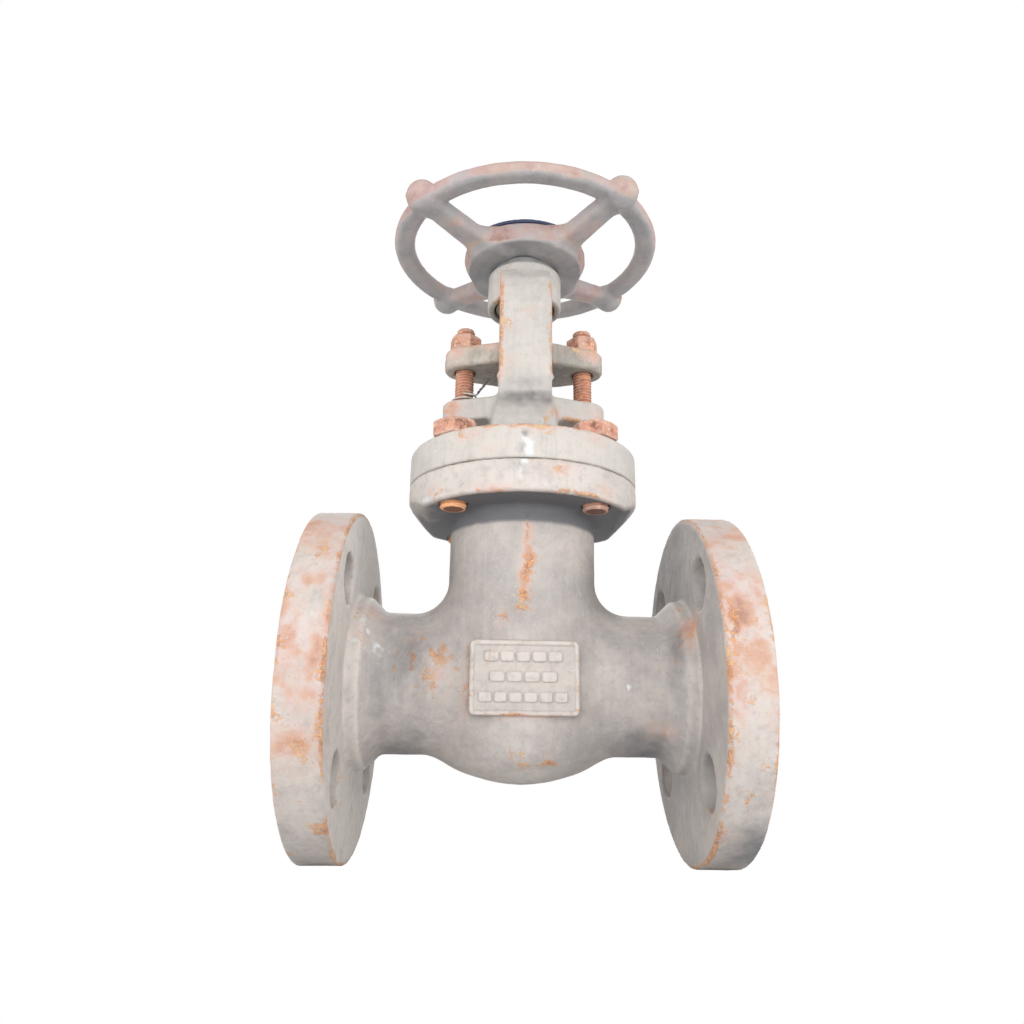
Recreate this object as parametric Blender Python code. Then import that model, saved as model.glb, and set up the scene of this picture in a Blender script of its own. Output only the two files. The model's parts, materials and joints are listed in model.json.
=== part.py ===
"""Flanged gate valve, nominal size 1 1/2 inch, class 300: bolted bonnet, outside screw and yoke.

Metres, +Z up along the stem, X along the pipe. The origin is where the stem's axis crosses the pipe's.
The valve is closed: the wedge is down between its seats and the stem stands just above the wheel's nut.
Turning the handwheel anticlockwise turns the yoke nut, which draws the stem and the wedge straight up.
"""

import math

import bmesh
import bpy
from mathutils import Matrix

GAP = 0.0003  # left between two pieces that touch
FULL_TURN = 2 * math.pi
WIDE_ROUND = 48  # sides of the flanges and the handwheel's rim
ROUND = 32  # sides of a middle-sized turned piece
SMALL_ROUND = 16  # sides of studs, bolts and bolt holes
PAST = 0.004  # how far a cutter runs past the wall that it cuts

# Pipe run and end flanges
FACE_TO_FACE = 0.1905
FLANGE_RADIUS = 0.0777
FLANGE_BACK = 0.07465  # distance of a flange's inner face from the stem axis
FLANGE_CHAMFER = 0.0014
RAISED_FACE_RADIUS = 0.0365
RAISED_FACE_HEIGHT = 0.0016
LINE_BOLT_OFFSET = 0.0404  # of a line-bolt hole from the pipe axis, in Y and in Z
LINE_BOLT_HOLE_RADIUS = 0.0111
BORE_RADIUS = 0.019
RUN_RADIUS = 0.0317
HUB_RADIUS = 0.0390

# Body chest, neck and top flange
CHEST_RADIUS = 0.0346
BELLY_BOTTOM = -0.0438
TOP_FLANGE_RADIUS = 0.0551
TOP_FLANGE_BOTTOM = 0.0770
JOINT_PLANE = 0.0916  # between the body's top flange and the bonnet
CHAMBER_RADIUS = 0.0275
CHAMBER_BOTTOM = 0.028
GASKET_RECESS_RADIUS = 0.0375
GASKET_RECESS_DEPTH = 0.0028
WEDGE_SLOT_HALF_WIDTH = 0.0135
WEDGE_SLOT_RADIUS = 0.0265
WEDGE_SLOT_TOP = 0.034
NAME_PAD_HALF = 0.0229
NAME_PAD_BOTTOM = -0.0152
NAME_PAD_TOP = 0.0160
NAME_PAD_FRONT = 0.0363
NAME_PAD_CORNER = 0.003

# Seats and wedge
SEAT_RADIUS = 0.0233
SEAT_END = 0.0217
WEDGE_RADIUS = 0.0235
WEDGE_HALF_THICKNESS = 0.0102  # at the pipe axis
WEDGE_SLOPE = math.tan(math.radians(5.0))
WEDGE_TOP = 0.0385
STEM_HEAD_BOTTOM = 0.027
STEM_HEAD_TOP = 0.033
STEM_HEAD_RADIUS = 0.010
STEM_WAIST_RADIUS = 0.007
STEM_HEAD_PLAY = 0.0004  # between the stem's head and its slot in the wedge

# Bonnet, stuffing box and yoke
BONNET_TOP = 0.1075
BONNET_BOLT_OFFSET = 0.0320  # of a bonnet bolt from the stem axis, in X and in Y
BONNET_BOLT_RADIUS = 0.006
BONNET_BOLT_END = 0.0744
BONNET_HEAD_ACROSS = 0.019
BONNET_HEAD_HEIGHT = 0.0078
BONNET_HEAD_TURN = 23  # degrees from each bonnet bolt's head to the next
NECK_RADIUS = 0.0187
BUSHING_RADIUS = 0.0127
BUSHING_BOTTOM = 0.0970
BUSHING_TOP = 0.1070
SHELF_BOTTOM = 0.126
SHELF_TOP = 0.1375
BOX_BOTTOM = 0.110
BOX_RADIUS = 0.0135
ARM_HALF_WIDTH = 0.0128
YOKE_BOTTOM = 0.1920
YOKE_TOP = 0.2109
YOKE_RADIUS = 0.01915
YOKE_BORE = 0.0138
YOKE_COUNTERBORE = 0.0158
YOKE_STEP = 0.198

# Gland and packing
STUD_OFFSET = 0.0302
STUD_RADIUS = 0.00476
STUD_TOP = 0.180
PACKING_HEIGHT = 0.0042
PACKING_PITCH = PACKING_HEIGHT + GAP
PACKING_COUNT = 5
GLAND_FLANGE_BOTTOM = 0.1557
GLAND_FLANGE_TOP = 0.1670
GLAND_NUT_HEIGHT = 0.0083
GLAND_NUT_ACROSS = 0.0143
GLAND_NUT_TURN = 12  # degrees that a nut's corners stand from X
GLAND_COLLAR_RADIUS = 0.0160
GLAND_FLANGE_HOLE_RADIUS = 0.0092
GLAND_STUD_CLEARANCE = 0.0006

# Stem and handwheel
STEM_RADIUS = 0.008
STEM_BORE = STEM_RADIUS + GAP
STEM_TOP = 0.241
BACKSEAT_TOP = 0.0544
WHEEL_TURN = math.radians(-4.0)  # how far the spokes stand from the diagonals
HUB_BOTTOM = 0.2152
HUB_TOP = 0.2250
DRIVE_RADIUS = 0.0132
DRIVE_FLAT = 0.011
RIM_RADIUS = 0.06406
RIM_HALF_WIDTH = 0.00528
RIM_HALF_HEIGHT = 0.00384
RIM_LEVEL = 0.2279
KNOB_RADIUS = 0.0078
KNOB_OFFSET = 0.0680
WHEEL_HUB_RADIUS = 0.0322
HUB_HOLE_RADIUS = 0.0120
NUT_THREAD_RADIUS = 0.0107
WASHER_RADIUS = 0.0170
PLATE_RADIUS = 0.031
PLATE_THICKNESS = 0.0016
WHEEL_NUT_ACROSS = 0.030
WHEEL_NUT_TOP = 0.2345

# Tag wire
WIRE_RADIUS = 0.00045
WIRE_COIL_RADIUS = STUD_RADIUS + 0.0013
WIRE_BOTTOM = SHELF_TOP + 0.0017
WIRE_STEPS = 30
WIRE_STEP_ANGLE = 14  # degrees
WIRE_STEP_RISE = 0.00008


def clear_scene():
    for obj in list(bpy.data.objects):
        bpy.data.objects.remove(obj)


def material(name, colour, roughness, metallic):
    mat = bpy.data.materials.new(name)
    mat.use_nodes = True
    shader = mat.node_tree.nodes["Principled BSDF"]
    shader.inputs["Base Color"].default_value = (*colour, 1.0)
    shader.inputs["Roughness"].default_value = roughness
    shader.inputs["Metallic"].default_value = metallic
    mat.diffuse_color = (*colour, 1.0)
    return mat


def mesh_of(bm, name):
    bmesh.ops.recalc_face_normals(bm, faces=bm.faces)
    mesh = bpy.data.meshes.new(name)
    bm.to_mesh(mesh)
    bm.free()
    mesh.shade_smooth()
    mesh.set_sharp_from_angle(angle=math.radians(35))
    return mesh


def add_node(name, shape, mat, location=(0, 0, 0), turn=0.0):
    """One sub-part: shape is a bmesh, which is used up, or a mesh that several sub-parts share."""
    mesh = shape if isinstance(shape, bpy.types.Mesh) else mesh_of(shape, name)
    if not mesh.materials:
        mesh.materials.append(mat)
    obj = bpy.data.objects.new(name, mesh)
    obj.location = location
    obj.rotation_euler = (0, 0, turn)
    bpy.context.collection.objects.link(obj)
    return obj


def boolean(target, shape, operation, name):
    """Joins a helper shape to the target, or cuts it from the target. The helper itself is never shown."""
    helper = bpy.data.objects.new(name, mesh_of(shape, name))
    helper.hide_render = True
    helper.display_type = "WIRE"
    bpy.context.collection.objects.link(helper)
    modifier = target.modifiers.new(name, "BOOLEAN")
    modifier.operation = operation
    modifier.object = helper


def cut(target, shape, name):
    boolean(target, shape, "DIFFERENCE", name)


def join(target, shape, name):
    boolean(target, shape, "UNION", name)


def baked(obj):
    """The object's shape with its Booleans applied, as one mesh that several sub-parts share."""
    graph = bpy.context.evaluated_depsgraph_get()
    mesh = bpy.data.meshes.new_from_object(obj.evaluated_get(graph))
    for helper in [modifier.object for modifier in obj.modifiers]:
        bpy.data.objects.remove(helper)
    bpy.data.objects.remove(obj)
    return mesh


def arc(centre, radius, start, end, steps):
    """Points on an arc, both ends included. Angles are in degrees."""
    angles = [math.radians(start + (end - start) * i / steps) for i in range(steps + 1)]
    return [(centre[0] + radius * math.cos(a), centre[1] + radius * math.sin(a)) for a in angles]


def circle(radius, steps, centre=(0, 0)):
    return arc(centre, radius, 0, 360, steps)[:-1]


def hexagon(across_flats):
    return circle(across_flats / math.sqrt(3), 6)


def prism(outline, low, high):
    """The outline, in X and Y, as a solid from low to high in Z."""
    bm = bmesh.new()
    face = bm.faces.new([bm.verts.new((x, y, low)) for x, y in outline])
    grown = bmesh.ops.extrude_face_region(bm, geom=[face])["geom"]
    lifted = [v for v in grown if isinstance(v, bmesh.types.BMVert)]
    bmesh.ops.translate(bm, verts=lifted, vec=(0, 0, high - low))
    bmesh.ops.recalc_face_normals(bm, faces=bm.faces)
    return bm


def turned(outline, steps=ROUND):
    """The closed outline, as radius and height, turned about Z. It may have one side on the axis."""
    bm = bmesh.new()
    points = [bm.verts.new((radius, 0, z)) for radius, z in outline]
    edges = [bm.edges.new((a, b)) for a, b in zip(points, points[1:] + points[:1])]
    edges = [e for e in edges if max(v.co.x for v in e.verts) > 0]
    bmesh.ops.spin(
        bm, geom=points + edges, axis=(0, 0, 1), cent=(0, 0, 0), angle=FULL_TURN, steps=steps,
        use_merge=True,
    )
    bmesh.ops.remove_doubles(bm, verts=bm.verts, dist=1e-7)
    stray = [e for e in bm.edges if not e.link_faces]
    bmesh.ops.delete(bm, geom=stray, context="EDGES")
    bmesh.ops.recalc_face_normals(bm, faces=bm.faces)
    return bm


def tube(inner, outer, low, high, steps=ROUND):
    return turned([(inner, low), (outer, low), (outer, high), (inner, high)], steps)


def rod(radius, low, high, steps=ROUND):
    return prism(circle(radius, steps), low, high)


def moved(bm, matrix):
    bmesh.ops.transform(bm, matrix=matrix, verts=bm.verts)
    return bm


def along_x(bm):
    """Lays a shape that was made about Z along X, its top towards +X and its X side down."""
    return moved(bm, Matrix.Rotation(math.radians(90), 4, "Y"))


def across_x(outline, low, high):
    """The outline, in Y and Z, as a solid from low to high in X."""
    to_x = Matrix(((0, 0, 1, 0), (1, 0, 0, 0), (0, 1, 0, 0), (0, 0, 0, 1)))
    return moved(prism(outline, low, high), to_x)


def merged(shapes):
    """Shapes that don't touch each other, as one cutter."""
    whole = bmesh.new()
    for shape in shapes:
        mesh = bpy.data.meshes.new("piece")
        shape.to_mesh(mesh)
        shape.free()
        whole.from_mesh(mesh)
        bpy.data.meshes.remove(mesh)
    return whole


def shifted(bm, x=0.0, y=0.0, z=0.0):
    return moved(bm, Matrix.Translation((x, y, z)))


def corners(offset):
    """The four points at plus and minus offset, in turn."""
    return [(sx * offset, sy * offset) for sx, sy in ((-1, -1), (1, -1), (1, 1), (-1, 1))]


def ears(centre_radius, end_radius):
    """An oval plate: a round middle, tapering straight to a round end about each gland stud."""
    lean = math.degrees(math.asin((centre_radius - end_radius) / STUD_OFFSET))
    right = arc((STUD_OFFSET, 0), end_radius, lean - 90, 90 - lean, 10)
    top = arc((0, 0), centre_radius, 90 - lean, 90 + lean, 6)
    left = [(-x, -y) for x, y in right]
    bottom = [(-x, -y) for x, y in top]
    return right + top + left + bottom


def make_run():
    """Both end flanges, their hubs and the pipe between them, turned about the pipe's axis."""
    face = FACE_TO_FACE / 2
    front = face - RAISED_FACE_HEIGHT
    half = [
        (0, face),
        (RAISED_FACE_RADIUS, face),
        (RAISED_FACE_RADIUS + 0.0008, front),
        (FLANGE_RADIUS - FLANGE_CHAMFER, front),
        (FLANGE_RADIUS, front - FLANGE_CHAMFER),
        (FLANGE_RADIUS, FLANGE_BACK + FLANGE_CHAMFER),
        (FLANGE_RADIUS - FLANGE_CHAMFER, FLANGE_BACK),
        (HUB_RADIUS, FLANGE_BACK),
        (HUB_RADIUS - 0.0006, FLANGE_BACK - 0.0050),
        (HUB_RADIUS - 0.0036, FLANGE_BACK - 0.0086),
        (RUN_RADIUS + 0.0008, FLANGE_BACK - 0.0120),
        (RUN_RADIUS, FLANGE_BACK - 0.0160),
    ]
    other = [(radius, -z) for radius, z in reversed(half)]
    return along_x(turned(half + other, WIDE_ROUND))


def make_chest():
    """The neck and its top flange, running down into the rounded belly under the wedge."""
    outline = [
        (0, JOINT_PLANE - GAP),
        (TOP_FLANGE_RADIUS - 0.0006, JOINT_PLANE - GAP),
        (TOP_FLANGE_RADIUS, JOINT_PLANE - GAP - 0.0006),
        (TOP_FLANGE_RADIUS, TOP_FLANGE_BOTTOM + 0.0006),
        (TOP_FLANGE_RADIUS - 0.0006, TOP_FLANGE_BOTTOM),
        (CHEST_RADIUS + 0.0025, TOP_FLANGE_BOTTOM),
        (CHEST_RADIUS, TOP_FLANGE_BOTTOM - 0.0025),
        (CHEST_RADIUS, BELLY_BOTTOM + 0.0140),
        (CHEST_RADIUS - 0.0020, BELLY_BOTTOM + 0.0100),
        (0.0280, BELLY_BOTTOM + 0.0076),
        (0.0200, BELLY_BOTTOM + 0.0042),
        (0.0130, BELLY_BOTTOM + 0.0017),
        (0.0065, BELLY_BOTTOM + 0.0004),
        (0, BELLY_BOTTOM),
    ]
    return turned(outline, WIDE_ROUND)


def side_bevel(side):
    """The flat cut that takes the top flange's lower edge away, above each side of the pipe run."""
    inner, outer, low, high = 0.0463, TOP_FLANGE_RADIUS, TOP_FLANGE_BOTTOM, 0.0840
    run_out = 0.3
    dx, dz = (outer - inner) * run_out, (high - low) * run_out
    wedge = [(inner - dx, low - dz), (outer + dx, low - dz), (outer + dx, high + dz)]
    bm = prism([(side * x, z) for x, z in wedge], -0.045, 0.045)
    return moved(bm, Matrix.Rotation(math.radians(90), 4, "X"))


def name_pad_outline():
    """A rectangle in X and Z with rounded corners."""
    places = [
        (NAME_PAD_HALF, NAME_PAD_TOP),
        (-NAME_PAD_HALF, NAME_PAD_TOP),
        (-NAME_PAD_HALF, NAME_PAD_BOTTOM),
        (NAME_PAD_HALF, NAME_PAD_BOTTOM),
    ]
    outline = []
    for quarter, (x, z) in enumerate(places):
        centre = (x - math.copysign(NAME_PAD_CORNER, x), z - math.copysign(NAME_PAD_CORNER, z))
        outline += arc(centre, NAME_PAD_CORNER, 90 * quarter, 90 * quarter + 90, 3)
    return outline


def make_body(mat):
    body = add_node("body", make_run(), mat)
    join(body, make_chest(), "body_chest")
    turn_up = Matrix.Rotation(math.radians(90), 4, "X")
    inside_chest = 0.018
    pad = prism(name_pad_outline(), inside_chest, NAME_PAD_FRONT)
    join(body, moved(pad, turn_up), "body_name_pad")

    face = FACE_TO_FACE / 2 + PAST
    cut(body, along_x(rod(BORE_RADIUS, -face, face)), "body_bore")
    pocket = SEAT_END + GAP
    cut(body, along_x(rod(SEAT_RADIUS + GAP, -pocket, pocket)), "body_seat_pockets")
    slot = [(WEDGE_SLOT_RADIUS, WEDGE_SLOT_TOP), *arc((0, 0), WEDGE_SLOT_RADIUS, 0, -180, 24)]
    slot.append((-WEDGE_SLOT_RADIUS, WEDGE_SLOT_TOP))
    cut(body, across_x(slot, -WEDGE_SLOT_HALF_WIDTH, WEDGE_SLOT_HALF_WIDTH), "body_wedge_slot")
    cut(body, rod(CHAMBER_RADIUS, CHAMBER_BOTTOM, JOINT_PLANE + PAST), "body_chamber")
    recess_floor = JOINT_PLANE - GASKET_RECESS_DEPTH
    cut(body, rod(GASKET_RECESS_RADIUS, recess_floor, JOINT_PLANE + PAST), "body_gasket_recess")

    middle = (FACE_TO_FACE / 2 + FLANGE_BACK) / 2
    half = FACE_TO_FACE / 2 - middle + PAST
    line_holes = [
        shifted(along_x(rod(LINE_BOLT_HOLE_RADIUS, -half, half, SMALL_ROUND)), side * middle, y, z)
        for side in (-1, 1)
        for y, z in corners(LINE_BOLT_OFFSET)
    ]
    cut(body, merged(line_holes), "body_line_bolt_holes")
    cut(body, bonnet_bolt_cutter(TOP_FLANGE_BOTTOM, JOINT_PLANE), "body_bonnet_bolt_holes")
    cut(body, merged([side_bevel(-1), side_bevel(1)]), "body_side_bevels")


def bonnet_bolt_cutter(low, high):
    """The four bonnet-bolt holes, through a flange that runs from low to high."""
    return merged([
        shifted(rod(BONNET_BOLT_RADIUS + GAP, low - PAST, high + PAST, SMALL_ROUND), x, y)
        for x, y in corners(BONNET_BOLT_OFFSET)
    ])


def wedge_face(z):
    """Distance of the wedge's sealing face from the stem axis, at height z."""
    return WEDGE_HALF_THICKNESS + WEDGE_SLOPE * z


def make_seat_rings(mat):
    """Two rings let into the body, each with its inner face leaning to meet the wedge."""
    ring = tube(BORE_RADIUS, SEAT_RADIUS, 0, SEAT_END)
    along_x(ring)
    for vert in ring.verts:
        if vert.co.x < SEAT_END / 2:
            vert.co.x = wedge_face(vert.co.z) + GAP
    mesh = mesh_of(ring, "seat_ring")
    add_node("seat_ring_right", mesh, mat)
    add_node("seat_ring_left", mesh, mat, turn=math.pi)


def make_wedge(mat):
    """A solid wedge, with a slot across its top that holds the stem's head."""
    half_top = 0.015
    start = math.degrees(math.acos(half_top / WEDGE_RADIUS))
    outline = arc((0, 0), WEDGE_RADIUS, 180 - start, 360 + start, 36)
    outline += [(half_top, WEDGE_TOP), (-half_top, WEDGE_TOP)]
    bm = across_x(outline, -1, 1)
    for vert in bm.verts:
        vert.co.x *= wedge_face(vert.co.z)
    wedge = add_node("wedge", bm, mat)
    head, waist = STEM_HEAD_RADIUS + STEM_HEAD_PLAY, STEM_WAIST_RADIUS + STEM_HEAD_PLAY
    low, high = STEM_HEAD_BOTTOM - GAP, STEM_HEAD_TOP + GAP
    slot = [
        (-head, low), (head, low), (head, high), (waist, high), (waist, WEDGE_TOP + PAST),
        (-waist, WEDGE_TOP + PAST), (-waist, high), (-head, high),
    ]
    past_wedge = wedge_face(WEDGE_TOP) + PAST
    cut(wedge, across_x(slot, -past_wedge, past_wedge), "wedge_stem_slot")


def make_stem(mat):
    """Head in the wedge, backseat collar, then one long rod: smooth in the packing and screwed above."""
    outline = [
        (0, STEM_HEAD_BOTTOM),
        (STEM_HEAD_RADIUS, STEM_HEAD_BOTTOM),
        (STEM_HEAD_RADIUS, STEM_HEAD_TOP),
        (STEM_WAIST_RADIUS, STEM_HEAD_TOP),
        (STEM_WAIST_RADIUS, 0.044),
        (0.011, 0.047),
        (0.011, BACKSEAT_TOP - 0.003),
        (STEM_RADIUS, BACKSEAT_TOP),
        (STEM_RADIUS, STEM_TOP - 0.0012),
        (STEM_RADIUS - 0.0015, STEM_TOP),
        (0, STEM_TOP),
    ]
    add_node("stem", turned(outline), mat)


def make_arm(side):
    """One yoke arm, which swings out from the bonnet's neck and back in to the boss. side is -1 in front.

    Both edges of its outline are in Y and Z, running up outside and down again inside."""
    outer = [
        (0.0165, 0.1285), (0.0187, 0.1315), (0.0240, 0.1332), (0.0275, 0.1348), (0.0290, 0.1375),
        (0.0292, 0.1500), (0.0292, 0.1720), (0.0285, 0.1820), (0.0264, 0.1915), (0.0230, 0.1992),
        (0.0188, 0.2050),
    ]
    inner = [
        (0.0165, 0.2050), (0.0165, 0.1945), (0.0185, 0.1890), (0.0200, 0.1800), (0.0203, 0.1700),
        (0.0203, 0.1420), (0.0190, 0.1385), (0.0165, 0.1360),
    ]
    return across_x([(side * y, z) for y, z in outer + inner], -ARM_HALF_WIDTH, ARM_HALF_WIDTH)


def stud_cutter(clearance, low, high):
    """The two gland-stud holes, through a plate that runs from low to high."""
    return merged([
        shifted(rod(STUD_RADIUS + clearance, low - PAST, high + PAST, SMALL_ROUND), side * STUD_OFFSET)
        for side in (-1, 1)
    ])


def make_bonnet(mat):
    bottom = JOINT_PLANE + GAP
    outline = [
        (0, bottom),
        (TOP_FLANGE_RADIUS - 0.0006, bottom),
        (TOP_FLANGE_RADIUS, bottom + 0.0006),
        (TOP_FLANGE_RADIUS, BONNET_TOP - 0.0010),
        (TOP_FLANGE_RADIUS - 0.0010, BONNET_TOP),
        (0.0270, BONNET_TOP),
        (0.0235, 0.1095),
        (0.0208, 0.1140),
        (0.0194, 0.1200),
        (NECK_RADIUS, 0.1280),
        (NECK_RADIUS, SHELF_TOP - 0.001),
        (0, SHELF_TOP - 0.001),
    ]
    bonnet = add_node("bonnet", turned(outline, WIDE_ROUND), mat)
    join(bonnet, prism(ears(0.0195, 0.0106), SHELF_BOTTOM, SHELF_TOP), "bonnet_shelf")
    join(bonnet, rod(YOKE_RADIUS, YOKE_BOTTOM, YOKE_TOP), "bonnet_yoke_boss")
    join(bonnet, make_arm(-1), "bonnet_front_arm")
    join(bonnet, make_arm(1), "bonnet_back_arm")

    inside = [
        (0, bottom - PAST),
        (BUSHING_RADIUS + GAP, bottom - PAST),
        (BUSHING_RADIUS + GAP, BUSHING_TOP + GAP),
        (STEM_BORE, BUSHING_TOP + GAP),
        (STEM_BORE, BOX_BOTTOM),
        (BOX_RADIUS, BOX_BOTTOM),
        (BOX_RADIUS, SHELF_TOP + PAST),
        (0, SHELF_TOP + PAST),
    ]
    cut(bonnet, turned(inside), "bonnet_stem_passage")
    yoke_bore = [
        (0, YOKE_BOTTOM - PAST),
        (YOKE_COUNTERBORE, YOKE_BOTTOM - PAST),
        (YOKE_COUNTERBORE, YOKE_STEP),
        (YOKE_BORE, YOKE_STEP),
        (YOKE_BORE, YOKE_TOP + PAST),
        (0, YOKE_TOP + PAST),
    ]
    cut(bonnet, turned(yoke_bore), "bonnet_yoke_bore")
    cut(bonnet, stud_cutter(GAP, SHELF_BOTTOM, SHELF_TOP), "bonnet_stud_holes")
    cut(bonnet, bonnet_bolt_cutter(bottom, BONNET_TOP), "bonnet_bolt_holes")


def hex_nut(name, across_flats, hole_radius, height, mat):
    nut = add_node(name, prism(hexagon(across_flats), 0, height), mat)
    cut(nut, rod(hole_radius, -PAST, height + PAST, SMALL_ROUND), name + "_hole")
    return nut


def make_bonnet_joint(steel, soft):
    """The gasket, the backseat bushing and the four bonnet bolts."""
    add_node("bonnet_gasket", tube(0.0300, 0.0372, JOINT_PLANE - 0.0025, JOINT_PLANE), soft)
    add_node("backseat_bushing", tube(STEM_BORE, BUSHING_RADIUS, BUSHING_BOTTOM, BUSHING_TOP), steel)
    under_head = BONNET_TOP + GAP
    bolt = add_node("bolt", prism(hexagon(BONNET_HEAD_ACROSS), 0, BONNET_HEAD_HEIGHT), steel)
    join(bolt, rod(BONNET_BOLT_RADIUS, BONNET_BOLT_END - under_head, 0.002, SMALL_ROUND), "shank")
    mesh = baked(bolt)
    for number, (x, y) in enumerate(corners(BONNET_BOLT_OFFSET), start=1):
        turn = math.radians(BONNET_HEAD_TURN * number)
        add_node(f"bonnet_bolt_{number}", mesh, steel, (x, y, under_head), turn)


def make_gland(cast, steel, soft):
    """The packing rings, the gland that presses on them, its flange, and the two studs and nuts."""
    ring = mesh_of(tube(STEM_BORE, BOX_RADIUS - GAP, 0, PACKING_HEIGHT), "packing_ring")
    for number in range(PACKING_COUNT):
        height = BOX_BOTTOM + GAP + number * PACKING_PITCH
        add_node(f"packing_ring_{number + 1}", ring, soft, (0, 0, height))

    foot = BOX_BOTTOM + GAP + PACKING_COUNT * PACKING_PITCH
    collar_top = GLAND_FLANGE_BOTTOM - GAP
    gland = [
        (STEM_BORE, foot),
        (BOX_RADIUS - GAP, foot),
        (BOX_RADIUS - GAP, collar_top - 0.0065),
        (GLAND_COLLAR_RADIUS, collar_top - 0.0055),
        (GLAND_COLLAR_RADIUS, collar_top),
        (STEM_BORE, collar_top),
    ]
    add_node("gland", turned(gland), steel)
    plate = prism(ears(0.0190, 0.0102), GLAND_FLANGE_BOTTOM, GLAND_FLANGE_TOP)
    flange = add_node("gland_flange", plate, cast)
    low, high = GLAND_FLANGE_BOTTOM, GLAND_FLANGE_TOP
    middle_hole = rod(GLAND_FLANGE_HOLE_RADIUS, low - PAST, high + PAST)
    cut(flange, merged([middle_hole, stud_cutter(GLAND_STUD_CLEARANCE, low, high)]), "gland_flange_holes")

    stud_bottom = SHELF_BOTTOM + 0.001
    stud = mesh_of(rod(STUD_RADIUS, 0, STUD_TOP - stud_bottom, SMALL_ROUND), "gland_stud")
    nut = baked(hex_nut("nut", GLAND_NUT_ACROSS, STUD_RADIUS + GAP, GLAND_NUT_HEIGHT, steel))
    for name, side in (("left", -1), ("right", 1)):
        x = side * STUD_OFFSET
        add_node(f"gland_stud_{name}", stud, steel, (x, 0, stud_bottom))
        turn = math.radians(GLAND_NUT_TURN * side)
        add_node(f"gland_nut_{name}", nut, steel, (x, 0, GLAND_FLANGE_TOP + GAP), turn)


def double_flat(radius, flat):
    """A circle with two flats at plus and minus flat in X."""
    lean = math.degrees(math.acos(flat / radius))
    back = arc((0, 0), radius, lean, 180 - lean, 8)
    return back + [(-x, -y) for x, y in back]


def make_yoke_nut(bronze, steel):
    """The screwed sleeve that turns in the yoke with the handwheel, and the washer under the wheel."""
    drive_bottom = HUB_BOTTOM - GAP
    shoulder_bottom = YOKE_BOTTOM + 0.0010
    shoulder_radius = YOKE_COUNTERBORE - 0.0009
    sleeve = [
        (0, shoulder_bottom),
        (shoulder_radius, shoulder_bottom),
        (shoulder_radius, YOKE_STEP - GAP),
        (YOKE_BORE - GAP, YOKE_STEP - GAP),
        (YOKE_BORE - GAP, drive_bottom),
        (0, drive_bottom),
    ]
    nut = add_node("yoke_nut", turned(sleeve), bronze)
    plate_top = HUB_TOP + GAP + PLATE_THICKNESS
    overlap = 0.002
    drive = double_flat(DRIVE_RADIUS, DRIVE_FLAT)
    join(nut, prism(drive, drive_bottom - overlap, plate_top), "yoke_nut_drive")
    thread_top = WHEEL_NUT_TOP + 0.0015
    join(nut, rod(NUT_THREAD_RADIUS, plate_top - overlap, thread_top), "yoke_nut_thread")
    cut(nut, rod(STEM_BORE, YOKE_BOTTOM - PAST, thread_top + PAST), "yoke_nut_stem_thread")
    add_node("thrust_washer", tube(YOKE_BORE, WASHER_RADIUS, YOKE_TOP + GAP, drive_bottom), steel)


def make_spoke(angle):
    """A tapered spoke of oval section, rising from inside the hub to the rim."""
    stations = [  # distance out, height, half width and half height
        (0.026, 0.2195, 0.0090, 0.0045),
        (0.038, 0.2215, 0.0066, 0.0046),
        (RIM_RADIUS, 0.2268, 0.0056, 0.0038),
    ]
    bm = bmesh.new()
    rings = []
    for radius, z, half_width, half_height in stations:
        section = circle(1, 10)
        rings.append([bm.verts.new((radius, half_width * y, z + half_height * h)) for y, h in section])
    for ring, after in zip(rings, rings[1:]):
        for i in range(len(ring)):
            j = (i + 1) % len(ring)
            bm.faces.new((ring[i], ring[j], after[j], after[i]))
    bm.faces.new(rings[0][::-1])
    bm.faces.new(rings[-1])
    return moved(bm, Matrix.Rotation(angle, 4, "Z"))


def make_knob(angle):
    """The round knob on the rim at a spoke's end."""
    bm = bmesh.new()
    bmesh.ops.create_uvsphere(bm, u_segments=12, v_segments=8, radius=KNOB_RADIUS)
    shifted(bm, KNOB_OFFSET, 0, RIM_LEVEL)
    return moved(bm, Matrix.Rotation(angle, 4, "Z"))


def make_handwheel(mat):
    hub = [
        (HUB_HOLE_RADIUS, HUB_BOTTOM),
        (WHEEL_HUB_RADIUS - 0.0027, HUB_BOTTOM),
        (WHEEL_HUB_RADIUS, HUB_BOTTOM + 0.0055),
        (WHEEL_HUB_RADIUS - 0.0002, HUB_TOP - 0.0020),
        (WHEEL_HUB_RADIUS - 0.0017, HUB_TOP),
        (HUB_HOLE_RADIUS, HUB_TOP),
    ]
    wheel = add_node("handwheel", turned(hub), mat)
    angles = [WHEEL_TURN + math.radians(45 + 90 * i) for i in range(4)]
    for number, angle in enumerate(angles, start=1):
        join(wheel, make_spoke(angle), f"handwheel_spoke_{number}")
    section = circle(1, 10)
    rim = [(RIM_RADIUS + RIM_HALF_WIDTH * x, RIM_LEVEL + RIM_HALF_HEIGHT * z) for x, z in section]
    join(wheel, turned(rim, WIDE_ROUND), "handwheel_rim")
    for number, angle in enumerate(angles, start=1):
        join(wheel, make_knob(angle), f"handwheel_knob_{number}")
    drive = double_flat(DRIVE_RADIUS + GAP, DRIVE_FLAT + GAP)
    cut(wheel, prism(drive, HUB_BOTTOM - PAST, HUB_TOP + PAST), "handwheel_drive_hole")


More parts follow.
